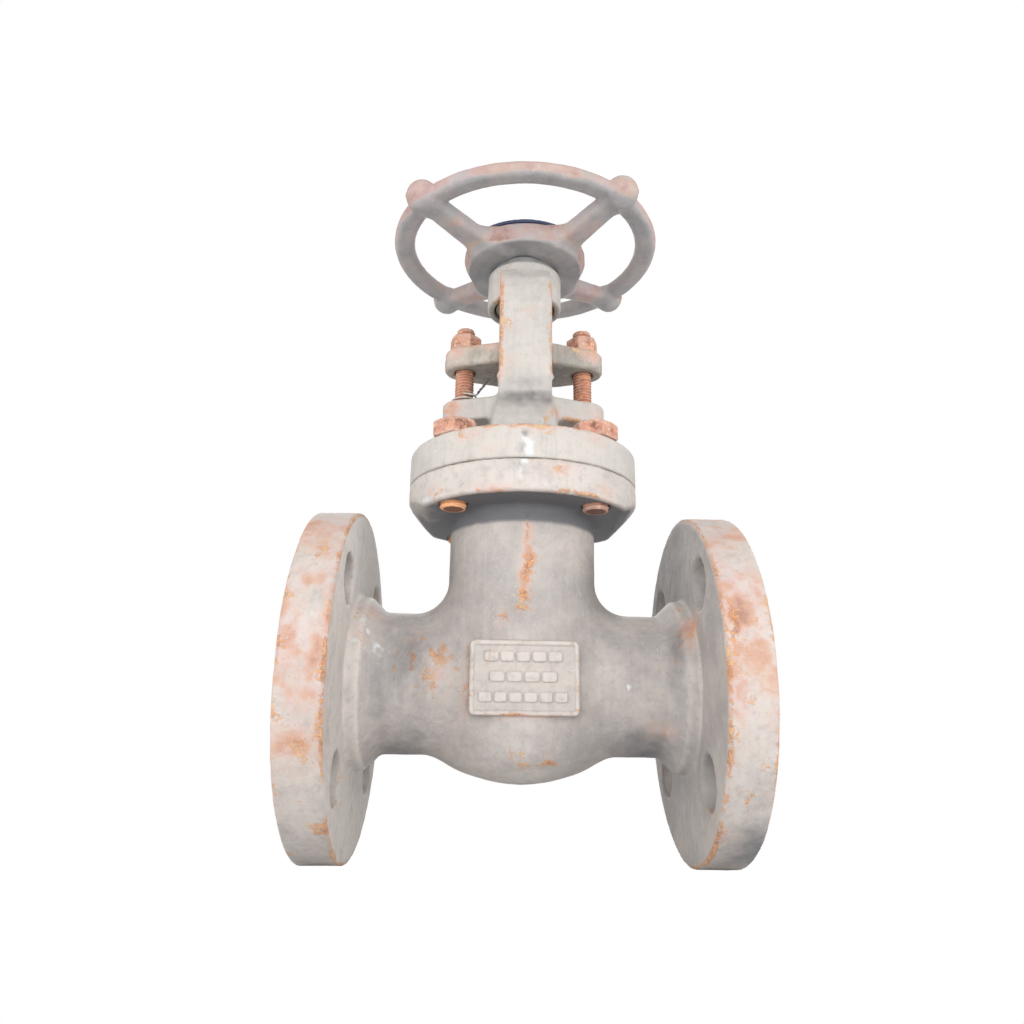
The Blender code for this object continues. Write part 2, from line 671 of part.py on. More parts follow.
def make_wheel_top(plate_mat, steel):
    """The round plate on the hub, and the nut that holds the wheel and the plate on the yoke nut."""
    plate_low = HUB_TOP + GAP
    plate_high = plate_low + PLATE_THICKNESS
    plate = tube(DRIVE_RADIUS + GAP, PLATE_RADIUS, plate_low, plate_high)
    add_node("identification_plate", plate, plate_mat)
    low = plate_high + GAP
    nut = add_node("handwheel_nut", prism(hexagon(WHEEL_NUT_ACROSS), low, WHEEL_NUT_TOP), steel)
    cut(nut, rod(NUT_THREAD_RADIUS + GAP, low - PAST, WHEEL_NUT_TOP + PAST), "handwheel_nut_hole")


def make_tag_wire(mat):
    """What is left of a tag's wire: a turn and a bit round the left gland stud, and a loose end."""
    points = []
    for step in range(WIRE_STEPS + 1):
        angle = math.radians(-30 - WIRE_STEP_ANGLE * step)
        x, y = WIRE_COIL_RADIUS * math.cos(angle), WIRE_COIL_RADIUS * math.sin(angle)
        tilt = 0.0006 * math.cos(angle)
        points.append((x - STUD_OFFSET, y, WIRE_BOTTOM + WIRE_STEP_RISE * step + tilt))
    points += [
        (-0.0236, -0.0066, 0.1415),
        (-0.0222, -0.0088, 0.1428),
        (-0.0204, -0.0099, 0.1446),
        (-0.0190, -0.0104, 0.1466),
        (-0.0174, -0.0117, 0.1483),
    ]
    curve = bpy.data.curves.new("tag_wire", "CURVE")
    curve.dimensions = "3D"
    curve.bevel_depth = WIRE_RADIUS
    curve.bevel_resolution = 1
    curve.use_fill_caps = True
    spline = curve.splines.new("POLY")
    spline.points.add(len(points) - 1)
    for point, place in zip(spline.points, points):
        point.co = (*place, 1)
    curve.materials.append(mat)
    wire = bpy.data.objects.new("tag_wire", curve)
    bpy.context.collection.objects.link(wire)


def main():
    clear_scene()
    forged = material("forged_steel", (0.42, 0.38, 0.34), 0.75, 0.1)
    grey = material("weathered_grey_steel", (0.55, 0.54, 0.51), 0.7, 0.1)
    rusty = material("rusty_steel", (0.45, 0.20, 0.10), 0.85, 0.1)
    brown = material("handwheel_iron", (0.40, 0.34, 0.31), 0.75, 0.1)
    bright = material("bright_steel", (0.62, 0.62, 0.60), 0.35, 0.9)
    bronze = material("bronze", (0.60, 0.45, 0.25), 0.45, 0.9)
    graphite = material("graphite", (0.06, 0.06, 0.065), 0.6, 0.0)
    navy = material("plate_blue", (0.03, 0.05, 0.16), 0.5, 0.0)
    make_body(forged)
    make_seat_rings(bright)
    make_wedge(bright)
    make_stem(bright)
    make_bonnet(grey)
    make_bonnet_joint(rusty, graphite)
    make_gland(grey, rusty, graphite)
    make_yoke_nut(bronze, bright)
    make_handwheel(brown)
    make_wheel_top(navy, rusty)
    make_tag_wire(bright)


main()
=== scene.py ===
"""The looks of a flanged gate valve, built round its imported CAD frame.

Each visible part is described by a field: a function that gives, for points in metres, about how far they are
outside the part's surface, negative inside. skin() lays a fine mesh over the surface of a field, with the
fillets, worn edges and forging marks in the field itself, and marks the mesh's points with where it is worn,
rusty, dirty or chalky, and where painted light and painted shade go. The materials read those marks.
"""

import json
import math

import bpy
import numpy as np
from mathutils import Euler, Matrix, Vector


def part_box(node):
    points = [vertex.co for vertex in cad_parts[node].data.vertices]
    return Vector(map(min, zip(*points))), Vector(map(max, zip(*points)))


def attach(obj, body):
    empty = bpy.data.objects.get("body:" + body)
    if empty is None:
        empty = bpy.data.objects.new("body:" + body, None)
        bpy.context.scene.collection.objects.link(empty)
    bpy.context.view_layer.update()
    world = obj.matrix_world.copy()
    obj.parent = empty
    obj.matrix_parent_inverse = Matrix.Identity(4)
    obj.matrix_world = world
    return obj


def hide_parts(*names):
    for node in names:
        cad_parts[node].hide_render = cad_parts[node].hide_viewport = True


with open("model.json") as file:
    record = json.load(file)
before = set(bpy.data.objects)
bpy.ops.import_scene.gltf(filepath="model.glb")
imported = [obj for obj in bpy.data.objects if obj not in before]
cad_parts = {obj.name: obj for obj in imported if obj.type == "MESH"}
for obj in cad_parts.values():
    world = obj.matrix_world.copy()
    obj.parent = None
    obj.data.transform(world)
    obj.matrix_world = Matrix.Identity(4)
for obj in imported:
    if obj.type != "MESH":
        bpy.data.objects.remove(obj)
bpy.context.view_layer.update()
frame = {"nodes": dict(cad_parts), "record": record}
COARSE = 1.0

BLOCK = 8  # fine cells along the side of a coarse block
SLACK = 1.25  # how much steeper than 1 a field may be
CHUNK = 200_000  # points in one evaluation
BEND_REACH = 0.0022  # how far round a point its sharpness is felt

# Sizes that the frame gives
BODY_LOW, BODY_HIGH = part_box("body")
BONNET_LOW, BONNET_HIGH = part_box("bonnet")
WHEEL_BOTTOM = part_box("handwheel")[0].z
GLAND_LOW, GLAND_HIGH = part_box("gland_flange")
STUD_LOW, STUD_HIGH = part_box("gland_stud_right")
BOLT_LOW, BOLT_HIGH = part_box("bonnet_bolt_3")
STEM_LOW, STEM_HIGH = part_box("stem")
FACE = BODY_HIGH.x
FLANGE_RADIUS = BODY_HIGH.y
BODY_TOP = BODY_HIGH.z
TOP_FLANGE_RADIUS = BONNET_HIGH.x
STUD_OFFSET = (STUD_LOW.x + STUD_HIGH.x) / 2
STUD_RADIUS = (STUD_HIGH.x - STUD_LOW.x) / 2
BOLT_OFFSET = (BOLT_LOW.x + BOLT_HIGH.x) / 2

# Sizes inside one CAD node, which its box doesn't give
RAISED_FACE = 0.0016
FLANGE_BACK = 0.07465
GASKET_RADIUS = 0.0365  # of the raised face
LINE_HOLE_RADIUS = 0.0111
LINE_HOLE_OFFSET = 0.0404  # from the run's axis, both ways
RUN_RADIUS = 0.0317
HUB_RADIUS = 0.0390  # where the run widens into the flange
BORE_RADIUS = 0.019
CAVITY_RADIUS = 0.0265  # the room for the wedge
CHEST_RADIUS = 0.0346
CHEST_FILLET = 0.0150  # between the run and the chest, at its widest
RUN_FILLET = 0.0020  # and where the run's side lines meet the chest
BELLY_RADIUS = 0.050
BELLY_BOTTOM = -0.0438
TOP_FLANGE_BOTTOM = 0.0770
JOINT_LEVEL = 0.0916  # where the two round flanges meet
BONNET_TOP = 0.1075
SHELF_BOTTOM = 0.1260
SHELF_TOP = 0.1375
YOKE_BOTTOM = 0.1920
BOSS_RADIUS = 0.01915
ARM_HALF = 0.0128
STEM_RADIUS = 0.008
STEM_PITCH = 0.0042333
STEM_SCREW_START = 0.150
STUD_PITCH = 0.0015875
BOLT_RADIUS = 0.0060
BOLT_PITCH = 0.00175
BOLT_HOLE_RADIUS = 0.0063
WHEEL_NUT_RADIUS = 0.0107  # of the sleeve's screw under the wheel's nut
RIM_RADIUS = 0.06406
RIM_LEVEL = 0.2279
KNOB_RADIUS = 0.00785
KNOB_PLACE = 0.0680  # from the stem's axis
KNOB_LEVEL = 0.2280
SPOKE_TURN = math.radians(41)
HUB_TOP = 0.2250
PAD_HALF = 0.0233  # of its width
PAD_ACROSS = 0.0005  # how far its middle is to the right
PAD_HALF_HEIGHT = 0.0156
PAD_MIDDLE = 0.0004
PAD_FRONT = 0.0362
JOINT_LIP = 0.0002  # how far each round flange stands into the gap that the CAD leaves between them

# ---------------------------------------------------------------- fields


def union(a, b, fillet=0.0):
    """Both shapes, with a fillet of that radius where they meet."""
    if np.isscalar(fillet) and not fillet:
        return np.minimum(a, b)
    inner = np.hypot(np.maximum(fillet - a, 0), np.maximum(fillet - b, 0))
    return np.maximum(fillet, np.minimum(a, b)) - inner


def common(a, b, edge=0.0):
    """What both shapes share, with its new edge rounded to that radius."""
    return -union(-a, -b, edge)


def cut(a, b, edge=0.0):
    return common(a, -b, edge)


def rounded(across, along, edge):
    """A shape bounded by two distances at right angles, with its corner rounded."""
    across, along = across + edge, along + edge
    outside = np.hypot(np.maximum(across, 0), np.maximum(along, 0))
    return outside + np.minimum(np.maximum(across, along), 0) - edge


def disc(p, radius, low, high, edge=0.0):
    """A round plate or rod about Z."""
    half = (high - low) / 2
    return rounded(np.hypot(p[:, 0], p[:, 1]) - radius, np.abs(p[:, 2] - low - half) - half, edge)


def block(p, low, high, edge=0.0):
    centre, half = (np.array(low) + high) / 2, (np.array(high) - low) / 2
    q = np.abs(p - centre) - half + edge
    outside = np.linalg.norm(np.maximum(q, 0), axis=1)
    return outside + np.minimum(q.max(axis=1), 0) - edge


def outline(u, v, corners, edge=0.0):
    """A closed flat outline. A side on the line u = 0 is left open, since the shape goes on beyond it."""
    nearest = np.full(len(u), np.inf)
    inside = np.zeros(len(u), bool)
    for (u0, v0), (u1, v1) in zip(corners, corners[1:] + corners[:1]):
        if v1 != v0:
            inside ^= ((v0 > v) != (v1 > v)) & (u < u0 + (v - v0) * (u1 - u0) / (v1 - v0))
        if u0 == u1 == 0:
            continue
        du, dv = u1 - u0, v1 - v0
        along = np.clip(((u - u0) * du + (v - v0) * dv) / (du * du + dv * dv), 0, 1)
        nearest = np.minimum(nearest, (u - u0 - along * du) ** 2 + (v - v0 - along * dv) ** 2)
    return np.where(inside, -1, 1) * np.sqrt(nearest) - edge


def turned(p, corners, edge=0.0):
    """The outline, as radius and height, turned about Z."""
    return outline(np.hypot(p[:, 0], p[:, 1]), p[:, 2], corners, edge)


def along_x(p):
    """The points as a shape sees them that was made about Z and then laid along X, mirrored at the middle."""
    return np.stack([p[:, 1], p[:, 2], np.abs(p[:, 0])], axis=1)


def in_fours(u, v, offset):
    """The distance from the nearest of four lines, which stand offset away from both axes."""
    return np.hypot(np.abs(u) - offset, np.abs(v) - offset)


def shifted(p, x=0.0, y=0.0, z=0.0):
    return p - np.array([x, y, z])


def oval(p, middle, end, low, high, edge=0.0):
    """A plate with a round middle that tapers straight to a round end about each gland stud."""
    lean = (middle - end) / STUD_OFFSET
    straight = math.sqrt(1 - lean * lean)
    x, y = np.abs(p[:, 0]), np.abs(p[:, 1])
    along = straight * x - lean * y
    side = lean * x + straight * y - middle
    side = np.where(along < 0, np.hypot(x, y) - middle, side)
    side = np.where(along > straight * STUD_OFFSET, np.hypot(x - STUD_OFFSET, y) - end, side)
    half = (high - low) / 2
    return rounded(side, np.abs(p[:, 2] - low - half) - half, edge)


def hexagon(p, across_flats, low, high, turn=0.0, edge=0.0003):
    """A nut's or a bolt head's shape, its upper corners chamfered. turn is in radians."""
    angle = np.arctan2(p[:, 1], p[:, 0]) - turn
    folded = np.abs((angle + math.pi / 6) % (math.pi / 3) - math.pi / 6)
    radius = np.hypot(p[:, 0], p[:, 1])
    side = radius * np.cos(math.pi / 6 - folded) - across_flats / 2
    half = (high - low) / 2
    plain = rounded(side, np.abs(p[:, 2] - low - half) - half, edge)
    lean = math.radians(30)
    chamfer = (radius - across_flats / 2) * math.sin(lean) + (p[:, 2] - high) * math.cos(lean)
    return common(plain, chamfer, edge)


def thread(p, radius, pitch, depth, flat=0.0):
    """An endless screw about Z, right-handed. flat is the share of the pitch that its crests take."""
    phase = p[:, 2] / pitch - np.arctan2(p[:, 1], p[:, 0]) / (2 * math.pi)
    wave = np.abs(2 * (phase % 1) - 1)
    wave = np.clip((wave - flat) / (1 - 2 * flat), 0, 1)
    return (np.hypot(p[:, 0], p[:, 1]) - radius + depth * wave) * 0.75


# ---------------------------------------------------------------- from field to mesh


def noise(p, size, seed):
    """Smooth random values between -1 and 1, which change over about that size."""
    count = 32
    lattice = np.random.default_rng(seed).uniform(-1, 1, (count, count, count))
    q = p / size
    base = np.floor(q).astype(int)
    t = q - base
    t = t * t * (3 - 2 * t)
    total = np.zeros(len(p))
    for i in (0, 1):
        for j in (0, 1):
            for k in (0, 1):
                share = np.abs(1 - i - t[:, 0]) * np.abs(1 - j - t[:, 1]) * np.abs(1 - k - t[:, 2])
                index = (base + (i, j, k)) % count
                total += share * lattice[index[:, 0], index[:, 1], index[:, 2]]
    return total


def evaluate(field, points):
    parts = [field(points[i:i + CHUNK]) for i in range(0, len(points), CHUNK)]
    return np.concatenate(parts) if parts else np.zeros(0)


def sampled(field, low, cell, counts):
    """The field on a grid: exact near its surface, and by the nearest block's middle elsewhere."""
    blocks = -(-counts // BLOCK)
    index = np.stack(np.meshgrid(*map(np.arange, blocks), indexing="ij"), axis=-1).reshape(-1, 3)
    middles = evaluate(field, low + (index * BLOCK + (BLOCK - 1) / 2) * cell)
    values = middles.reshape(blocks)
    for axis in range(3):
        values = values.repeat(BLOCK, axis=axis)
    near = np.abs(middles) < BLOCK * cell * math.sqrt(3) / 2 * SLACK
    inner = np.stack(np.meshgrid(*[np.arange(BLOCK)] * 3, indexing="ij"), axis=-1).reshape(-1, 3)
    fine = (index[near][:, None] * BLOCK + inner).reshape(-1, 3)
    values[fine[:, 0], fine[:, 1], fine[:, 2]] = evaluate(field, low + fine * cell)
    return values


def surface_net(values):
    """Points and quads over the zero surface of a grid of values, one point for each cell that it crosses."""
    inside = values < 0
    cells = tuple(n - 1 for n in values.shape)
    offsets = [(i, j, k) for i in (0, 1) for j in (0, 1) for k in (0, 1)]
    count = np.zeros(cells, np.int8)
    for i, j, k in offsets:
        count += inside[i:i + cells[0], j:j + cells[1], k:k + cells[2]]
    crossed = np.argwhere((count > 0) & (count < 8))
    number = np.full(cells, -1)
    number[tuple(crossed.T)] = np.arange(len(crossed))

    corner_values = np.stack([values[tuple((crossed + o).T)] for o in offsets], axis=1)
    total, hits = np.zeros((len(crossed), 3)), np.zeros(len(crossed))
    for a, start in enumerate(offsets):
        for b, end in enumerate(offsets):
            if b < a or sum(abs(m - n) for m, n in zip(start, end)) != 1:
                continue
            va, vb = corner_values[:, a], corner_values[:, b]
            hit = (va < 0) != (vb < 0)
            share = np.where(hit, va / np.where(hit, va - vb, 1), 0)
            where = np.array(start) + share[:, None] * (np.array(end) - start)
            total += where * hit[:, None]
            hits += hit
    points = crossed + total / hits[:, None]

    quads = []
    for axis in range(3):
        u, w = (axis + 1) % 3, (axis + 2) % 3
        start = [slice(1, -1)] * 3
        start[axis] = slice(0, -1)
        end = list(start)
        end[axis] = slice(1, None)
        first, second = inside[tuple(start)], inside[tuple(end)]
        edges = np.argwhere(first != second)
        outward = first[tuple(edges.T)]
        edges[:, u] += 1
        edges[:, w] += 1
        ring = []
        for du, dw in ((1, 1), (0, 1), (0, 0), (1, 0)):
            cell = edges.copy()
            cell[:, u] -= du
            cell[:, w] -= dw
            ring.append(number[tuple(cell.T)])
        ring = np.stack(ring, axis=1)
        quads.append(np.where(outward[:, None], ring, ring[:, ::-1]))
    return points, np.concatenate(quads)


def slope(field, points, step):
    """The field's gradient, by differences."""
    sides = []
    for axis in range(3):
        move = np.zeros(3)
        move[axis] = step
        sides.append((evaluate(field, points + move) - evaluate(field, points - move)) / (2 * step))
    return np.stack(sides, axis=1)


def settled(field, points, cell):
    """The points, moved onto the field's surface."""
    for _ in range(3):
        value = evaluate(field, points)
        direction = slope(field, points, cell * 0.05)
        steepness = np.maximum((direction ** 2).sum(axis=1), 0.1)
        move = np.clip(value / steepness, -cell, cell)
        points = points - move[:, None] * direction
    return points


def skin(name, field, low, high, cell, roughness=0.0, grain=0.004, marks=None):
    """A mesh object over the field's surface. marks is a function of points that gives named marks.

    The mark "bend" is positive on outer edges. roughness is the forging marks' depth, and grain their size.
    """
    cell = cell * COARSE
    low, high = np.array(low) - 2.5 * cell, np.array(high) + 2.5 * cell
    counts = np.ceil((high - low) / cell).astype(int) + 1
    points, quads = surface_net(sampled(field, low, cell, counts))
    points = settled(field, low + points * cell, cell)
    bend = -6 * evaluate(field, points)
    for axis in range(3):
        for side in (-BEND_REACH, BEND_REACH):
            move = np.zeros(3)
            move[axis] = side
            bend += evaluate(field, points + move)
    attributes = {"bend": bend / BEND_REACH}
    attributes.update(marks(points) if marks else {})
    if roughness:
        normal = slope(field, points, cell * 0.3)
        normal /= np.maximum(np.linalg.norm(normal, axis=1), 0.1)[:, None]
        dents = noise(points, grain, 3) + 0.6 * noise(points, grain * 0.45, 4)
        dents = dents + 1.5 * noise(points, grain * 4, 5)
        points = points + normal * (roughness * dents)[:, None]
    mesh = bpy.data.meshes.new(name)
    mesh.from_pydata(points.tolist(), [], quads.tolist())
    mesh.shade_smooth()
    for key, values in attributes.items():
        mesh.attributes.new(key, "FLOAT", "POINT").data.foreach_set("value", values.astype(np.float32))
    obj = bpy.data.objects.new(name, mesh)
    bpy.context.scene.collection.objects.link(obj)
    return obj


# ---------------------------------------------------------------- the parts' fields


def body_field(p):
    """Pipe run, end flanges, chest, belly, neck and top flange, with the bores and bolt holes cut out."""
    x, y, z = p.T
    q = along_x(p)
    front = FACE - RAISED_FACE
    run = disc(q, RUN_RADIUS, -1, FACE - 0.004)
    hub = [(0.0, 0.0800), (HUB_RADIUS, 0.0800), (HUB_RADIUS, FLANGE_BACK), (0.0386, 0.0698), (0.0318, 0.0628),
           (0.0, 0.0628)]
    run = union(run, turned(q, hub), 0.0012)
    run = union(run, disc(q, FLANGE_RADIUS, FLANGE_BACK, front, 0.0012), 0.0012)
    run = union(run, disc(q, GASKET_RADIUS, FACE - 0.006, FACE, 0.0003))

    neck = disc(p, CHEST_RADIUS, -0.06, 0.080)
    belly = np.linalg.norm(p - (0, 0, BELLY_BOTTOM + BELLY_RADIUS), axis=1) - BELLY_RADIUS
    chest = common(neck, np.where(z > 0.01, -BELLY_RADIUS, belly), 0.008)
    flange = disc(p, TOP_FLANGE_RADIUS, TOP_FLANGE_BOTTOM - 0.002, BODY_TOP + JOINT_LIP, 0.0004)
    underside = TOP_FLANGE_BOTTOM - 0.0013 + 0.0236 * np.abs(y)
    flange = common(flange, underside - z, 0.0010)
    side = ((np.abs(x) - 0.0463) * 0.0070 - (z - TOP_FLANGE_BOTTOM) * 0.0088) / 0.01124
    flange = common(flange, side, 0.0006)
    ragged = np.clip(0.6 + 0.8 * noise(p, 0.0030, 7), 0, 1)
    seam = 0.00045 * ragged * np.exp(-((x - 0.0004) / 0.0014) ** 2) * (z > 0.030)
    steepness = np.clip(np.abs(z) / RUN_RADIUS, 0, 1) ** 2  # of the line where the pipe meets the chest
    body = union(run, chest - seam, RUN_FILLET + (CHEST_FILLET - RUN_FILLET) * steepness)
    body = union(body, flange, 0.0035)

    body = cut(body, disc(q, BORE_RADIUS, -1, 1), 0.0008)
    body = cut(body, disc(q, 0.0236, -1, 0.0220))
    slot = block(p, (-0.0135, -CAVITY_RADIUS, -CAVITY_RADIUS), (0.0135, CAVITY_RADIUS, 0.0340))
    slot = np.maximum(slot, np.hypot(y, np.minimum(z, 0)) - CAVITY_RADIUS)
    body = cut(body, slot)
    body = cut(body, disc(p, 0.0275, 0.0280, 0.12), 0.0004)
    body = cut(body, disc(p, 0.0375, BODY_TOP - 0.0025, 0.12), 0.0002)
    line_holes = np.maximum(in_fours(y, z, LINE_HOLE_OFFSET) - LINE_HOLE_RADIUS, 0.060 - np.abs(x))
    body = cut(body, line_holes, 0.0006)
    bolt_holes = np.maximum(in_fours(x, y, BOLT_OFFSET) - BOLT_HOLE_RADIUS, 0.060 - z)
    return cut(body, bolt_holes, 0.0006)


DASH_ROWS = [(0.0092, 5, 0.0034), (0.0008, 4, 0.0037), (-0.0076, 6, 0.0032)]  # height, how many, half pitch


def name_pad_field(p):
    """The raised pad on the chest, with its border and three rows of plain dashes in place of words."""
    x, y, z = p.T
    chest = np.hypot(x, y) - CHEST_RADIUS + 0.0002
    across, up = np.abs(x - PAD_ACROSS) - PAD_HALF, np.abs(z - PAD_MIDDLE) - PAD_HALF_HEIGHT
    corner = np.stack([across, up]) + 0.0025
    plate = np.hypot(*np.maximum(corner, 0)) + np.minimum(corner.max(axis=0), 0) - 0.0025
    pad = rounded(plate, -y - PAD_FRONT, 0.0009)
    pad = cut(pad, np.maximum(plate + 0.0019, -y - 1), 0.0)
    floor = rounded(plate + 0.0010, -y - PAD_FRONT + 0.0008, 0.0004)
    pad = union(pad, floor, 0.0006)
    for height, count, half_pitch in DASH_ROWS:
        place = np.clip(np.round(x / half_pitch / 2 + (count - 1) / 2), 0, count - 1)
        along = np.abs(x - (place - (count - 1) / 2) * 2 * half_pitch) - half_pitch + 0.0014
        dash = np.hypot(np.maximum(along, 0), np.maximum(np.abs(z - height) - 0.0012, 0)) - 0.0009
        pad = union(pad, rounded(dash, -y - PAD_FRONT - 0.0001, 0.0004), 0.0003)
    pad = union(chest, pad, 0.0014)
    return np.maximum(pad, np.maximum(np.maximum(across, up) - 0.0032, y + 0.020))


# A yoke arm and its flared root seen from the side, as distance from the stem's axis and height
ARM_OUTLINE = [
    (0.0150, 0.1200), (0.0190, 0.1215), (0.0202, 0.1256), (0.0228, 0.1288), (0.0262, 0.1316),
    (0.0282, 0.1350), (0.0290, 0.1395), (0.0292, 0.1460), (0.0292, 0.1720), (0.0285, 0.1820),
    (0.0264, 0.1915), (0.0230, 0.1992), (0.0188, 0.2052), (0.0160, 0.2052), (0.0160, 0.1945),
    (0.0183, 0.1890), (0.0198, 0.1810), (0.0203, 0.1700), (0.0203, 0.1420), (0.0190, 0.1380),
    (0.0150, 0.1350),
]
ARM_ROOT = [
    (0.0100, 0.1000), (0.0245, 0.1000), (0.0228, 0.1100), (0.0210, 0.1200), (0.0206, 0.1300),
    (0.0196, 0.1330), (0.0100, 0.1330),
]


# Each bore's radius, where it begins and ends, and its rounded edge
BONNET_BORES = [
    (0.0158, 0.170, 0.198, 0.0006),  # the room under the boss for the sleeve's collar
    (0.0138, 0.170, 0.300, 0.0006),  # the boss
    (0.0135, 0.110, 0.170, 0.0006),  # the packing's room
    (0.0083, 0.100, 0.120, 0.0),  # the stem's
    (0.0130, 0.050, 0.1073, 0.0004),  # the backseat bushing's
]


def bonnet_field(p):
    """Flange, cone, gland shelf, the two arms of the yoke and its boss."""
    x, y, z = p.T
    flange = disc(p, TOP_FLANGE_RADIUS, BONNET_LOW.z - JOINT_LIP, BONNET_TOP + 0.003, 0.0004)
    flange = common(flange, z - BONNET_TOP, 0.0014)
    cone = turned(p, [(0.0, 0.095), (0.0214, 0.095), (0.0176, 0.1240), (0.0172, SHELF_TOP - 0.001),
                      (0.0, SHELF_TOP - 0.001)])
    bonnet = union(flange, cone, 0.0090)
    shelf = oval(p, 0.0195, 0.0106, SHELF_BOTTOM, SHELF_TOP, 0.0014)
    bonnet = union(bonnet, shelf, 0.0035)
    arm = outline(np.abs(y), z, ARM_OUTLINE)
    arm = rounded(np.abs(x) - ARM_HALF, arm, 0.0016)
    root = outline(np.abs(y), z, ARM_ROOT)
    root_half = np.interp(z, [0.1080, 0.1240, 0.1330], [0.0205, 0.0152, 0.0122])
    root = rounded(np.abs(x) - root_half, root, 0.0030) * 0.95
    lump_place = np.stack([np.abs(x) - 0.0122, -y - 0.0264, z - 0.1428], axis=1)  # on the front arm only
    arm = union(arm, np.linalg.norm(lump_place, axis=1) - 0.0016, 0.0008)
    boss = disc(p, BOSS_RADIUS, YOKE_BOTTOM, BONNET_HIGH.z + 0.004, 0.0012)
    boss = common(boss, z - BONNET_HIGH.z, 0.0010)
    bonnet = union(union(bonnet, root, 0.0050), arm, 0.0050)
    bonnet = union(bonnet, boss, 0.0014)

    for radius, low, high, edge in BONNET_BORES:
        bonnet = cut(bonnet, disc(p, radius, low, high), edge)
    studs = np.hypot(np.abs(x) - STUD_OFFSET, y) - STUD_RADIUS - 0.0003
    bonnet = cut(bonnet, np.maximum(studs, 0.115 - z), 0.0005)
    return cut(bonnet, np.maximum(in_fours(x, y, BOLT_OFFSET) - BOLT_HOLE_RADIUS, z - 0.120), 0.0006)


def gland_flange_field(p):
    plate = oval(p, 0.0190, 0.0102, GLAND_LOW.z, GLAND_HIGH.z, 0.0022)
    plate = cut(plate, disc(p, 0.0092, 0.10, 0.20), 0.0008)
    studs = np.hypot(np.abs(p[:, 0]) - STUD_OFFSET, p[:, 1]) - STUD_RADIUS - 0.0006
    return cut(plate, studs, 0.0006)


def handwheel_field(p):
    """Hub, four tapered spokes, the oval rim and the round knobs at the spokes' ends."""
    x, y, z = p.T
    radius = np.hypot(x, y)
    angle = np.arctan2(y, x) - SPOKE_TURN
    angle = (angle + math.pi / 4) % (math.pi / 2) - math.pi / 4
    out, side = radius * np.cos(angle), radius * np.sin(angle)
    hub = turned(p, [(0.0, WHEEL_BOTTOM), (0.0297, WHEEL_BOTTOM), (0.0322, 0.2205), (0.0321, 0.2232),
                     (0.0306, HUB_TOP), (0.0, HUB_TOP)])
    stations = [0.026, 0.038, RIM_RADIUS]  # along a spoke, from the hub to the rim
    level = np.interp(out, stations, [0.2196, 0.2216, 0.2270])
    half_width = np.interp(out, stations, [0.0082, 0.0064, 0.0058])
    half_height = np.interp(out, stations, [0.0044, 0.0044, 0.0040])
    spoke = rounded(np.abs(side) - half_width, np.abs(z - level) - half_height, 0.0032)
    spoke = np.maximum(spoke, np.maximum(0.018 - out, out - RIM_RADIUS))
    across, up = np.abs(radius - RIM_RADIUS) - 0.0017, np.abs(z - RIM_LEVEL) - 0.0002
    rim = np.hypot(np.maximum(across, 0), np.maximum(up, 0)) - 0.00362
    knob = np.sqrt((out - KNOB_PLACE) ** 2 + side ** 2 + (z - KNOB_LEVEL) ** 2) - KNOB_RADIUS
    seam = 0.00025 * np.exp(-((z - KNOB_LEVEL) / 0.0004) ** 2)
    wheel = union(hub, spoke, 0.0060)
    wheel = union(wheel, rim, 0.0035)
    wheel = union(wheel, knob - seam, 0.0014)
    drive = np.maximum(disc(p, 0.0135, 0.2, 0.3), np.abs(x) - 0.0113)
    return cut(wheel, drive, 0.0004)


def stud_field(side):
    def field(p):
        q = shifted(p, x=side * STUD_OFFSET)
        rod = disc(q, STUD_RADIUS, STUD_LOW.z, STUD_HIGH.z, 0.0012)
        return common(rod, thread(q, STUD_RADIUS, STUD_PITCH, 0.0007, 0.12), 0.0001)
    return field


def gland_nut_field(low, high, turn):
    centre = (low + high) / 2

    def field(p):
        q = shifted(p, centre.x, centre.y)
        nut = hexagon(q, 0.0143, low.z, high.z, turn, 0.0007)
        return cut(nut, disc(q, STUD_RADIUS + 0.0002, 0.1, 0.2), 0.0004)
    return field


def bonnet_bolt_field(low, high, turn):
    centre = (low + high) / 2

    def field(p):
        q = shifted(p, centre.x, centre.y)
        head = hexagon(q, 0.0190, BONNET_TOP + 0.0003, high.z, turn, 0.0007)
        shank = disc(q, BOLT_RADIUS, low.z, high.z - 0.001, 0.0010)
        return union(head, common(shank, thread(q, BOLT_RADIUS, BOLT_PITCH, 0.0008, 0.12), 0.0002), 0.0004)
    return field


def stem_field(p):
    """Head in the wedge, backseat collar, a smooth length in the packing and the screw above it."""
    low, high = STEM_LOW.z, STEM_HIGH.z
    stem = turned(p, [(0.0, low), (0.010, low), (0.010, low + 0.006), (0.007, low + 0.006), (0.007, 0.044),
                      (0.011, 0.047), (0.011, 0.0514), (0.008, 0.0544), (0.008, high - 0.0012),
                      (0.0066, high), (0.0, high)])
    mirrored = p * (-1, 1, 1)  # a left-handed screw, so that the stem rises as the wheel turns anticlockwise
    screw = np.where(p[:, 2] > STEM_SCREW_START, thread(mirrored, STEM_RADIUS, STEM_PITCH, 0.0017, 0.22), -1)
    return common(stem, screw, 0.0002)


def wedge_field(p):
    """A solid wedge with leaning faces, and a slot across its top for the stem's head."""
    x, y, z = p.T
    low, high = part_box("wedge")
    face = 0.0102 + math.tan(math.radians(5)) * z
    around = np.hypot(y, z) - high.y
    around = np.minimum(around, np.maximum(np.abs(y) - 0.0150, -z))
    wedge = rounded(around, np.abs(x) - face, 0.0005)
    wedge = common(wedge, z - high.z, 0.0008)
    slot = np.maximum(np.abs(y) - 0.0104, np.abs(z - 0.0300) - 0.0033)
    slot = np.minimum(slot, np.maximum(np.abs(y) - 0.0074, 0.030 - z))
    return cut(wedge, slot, 0.0004)


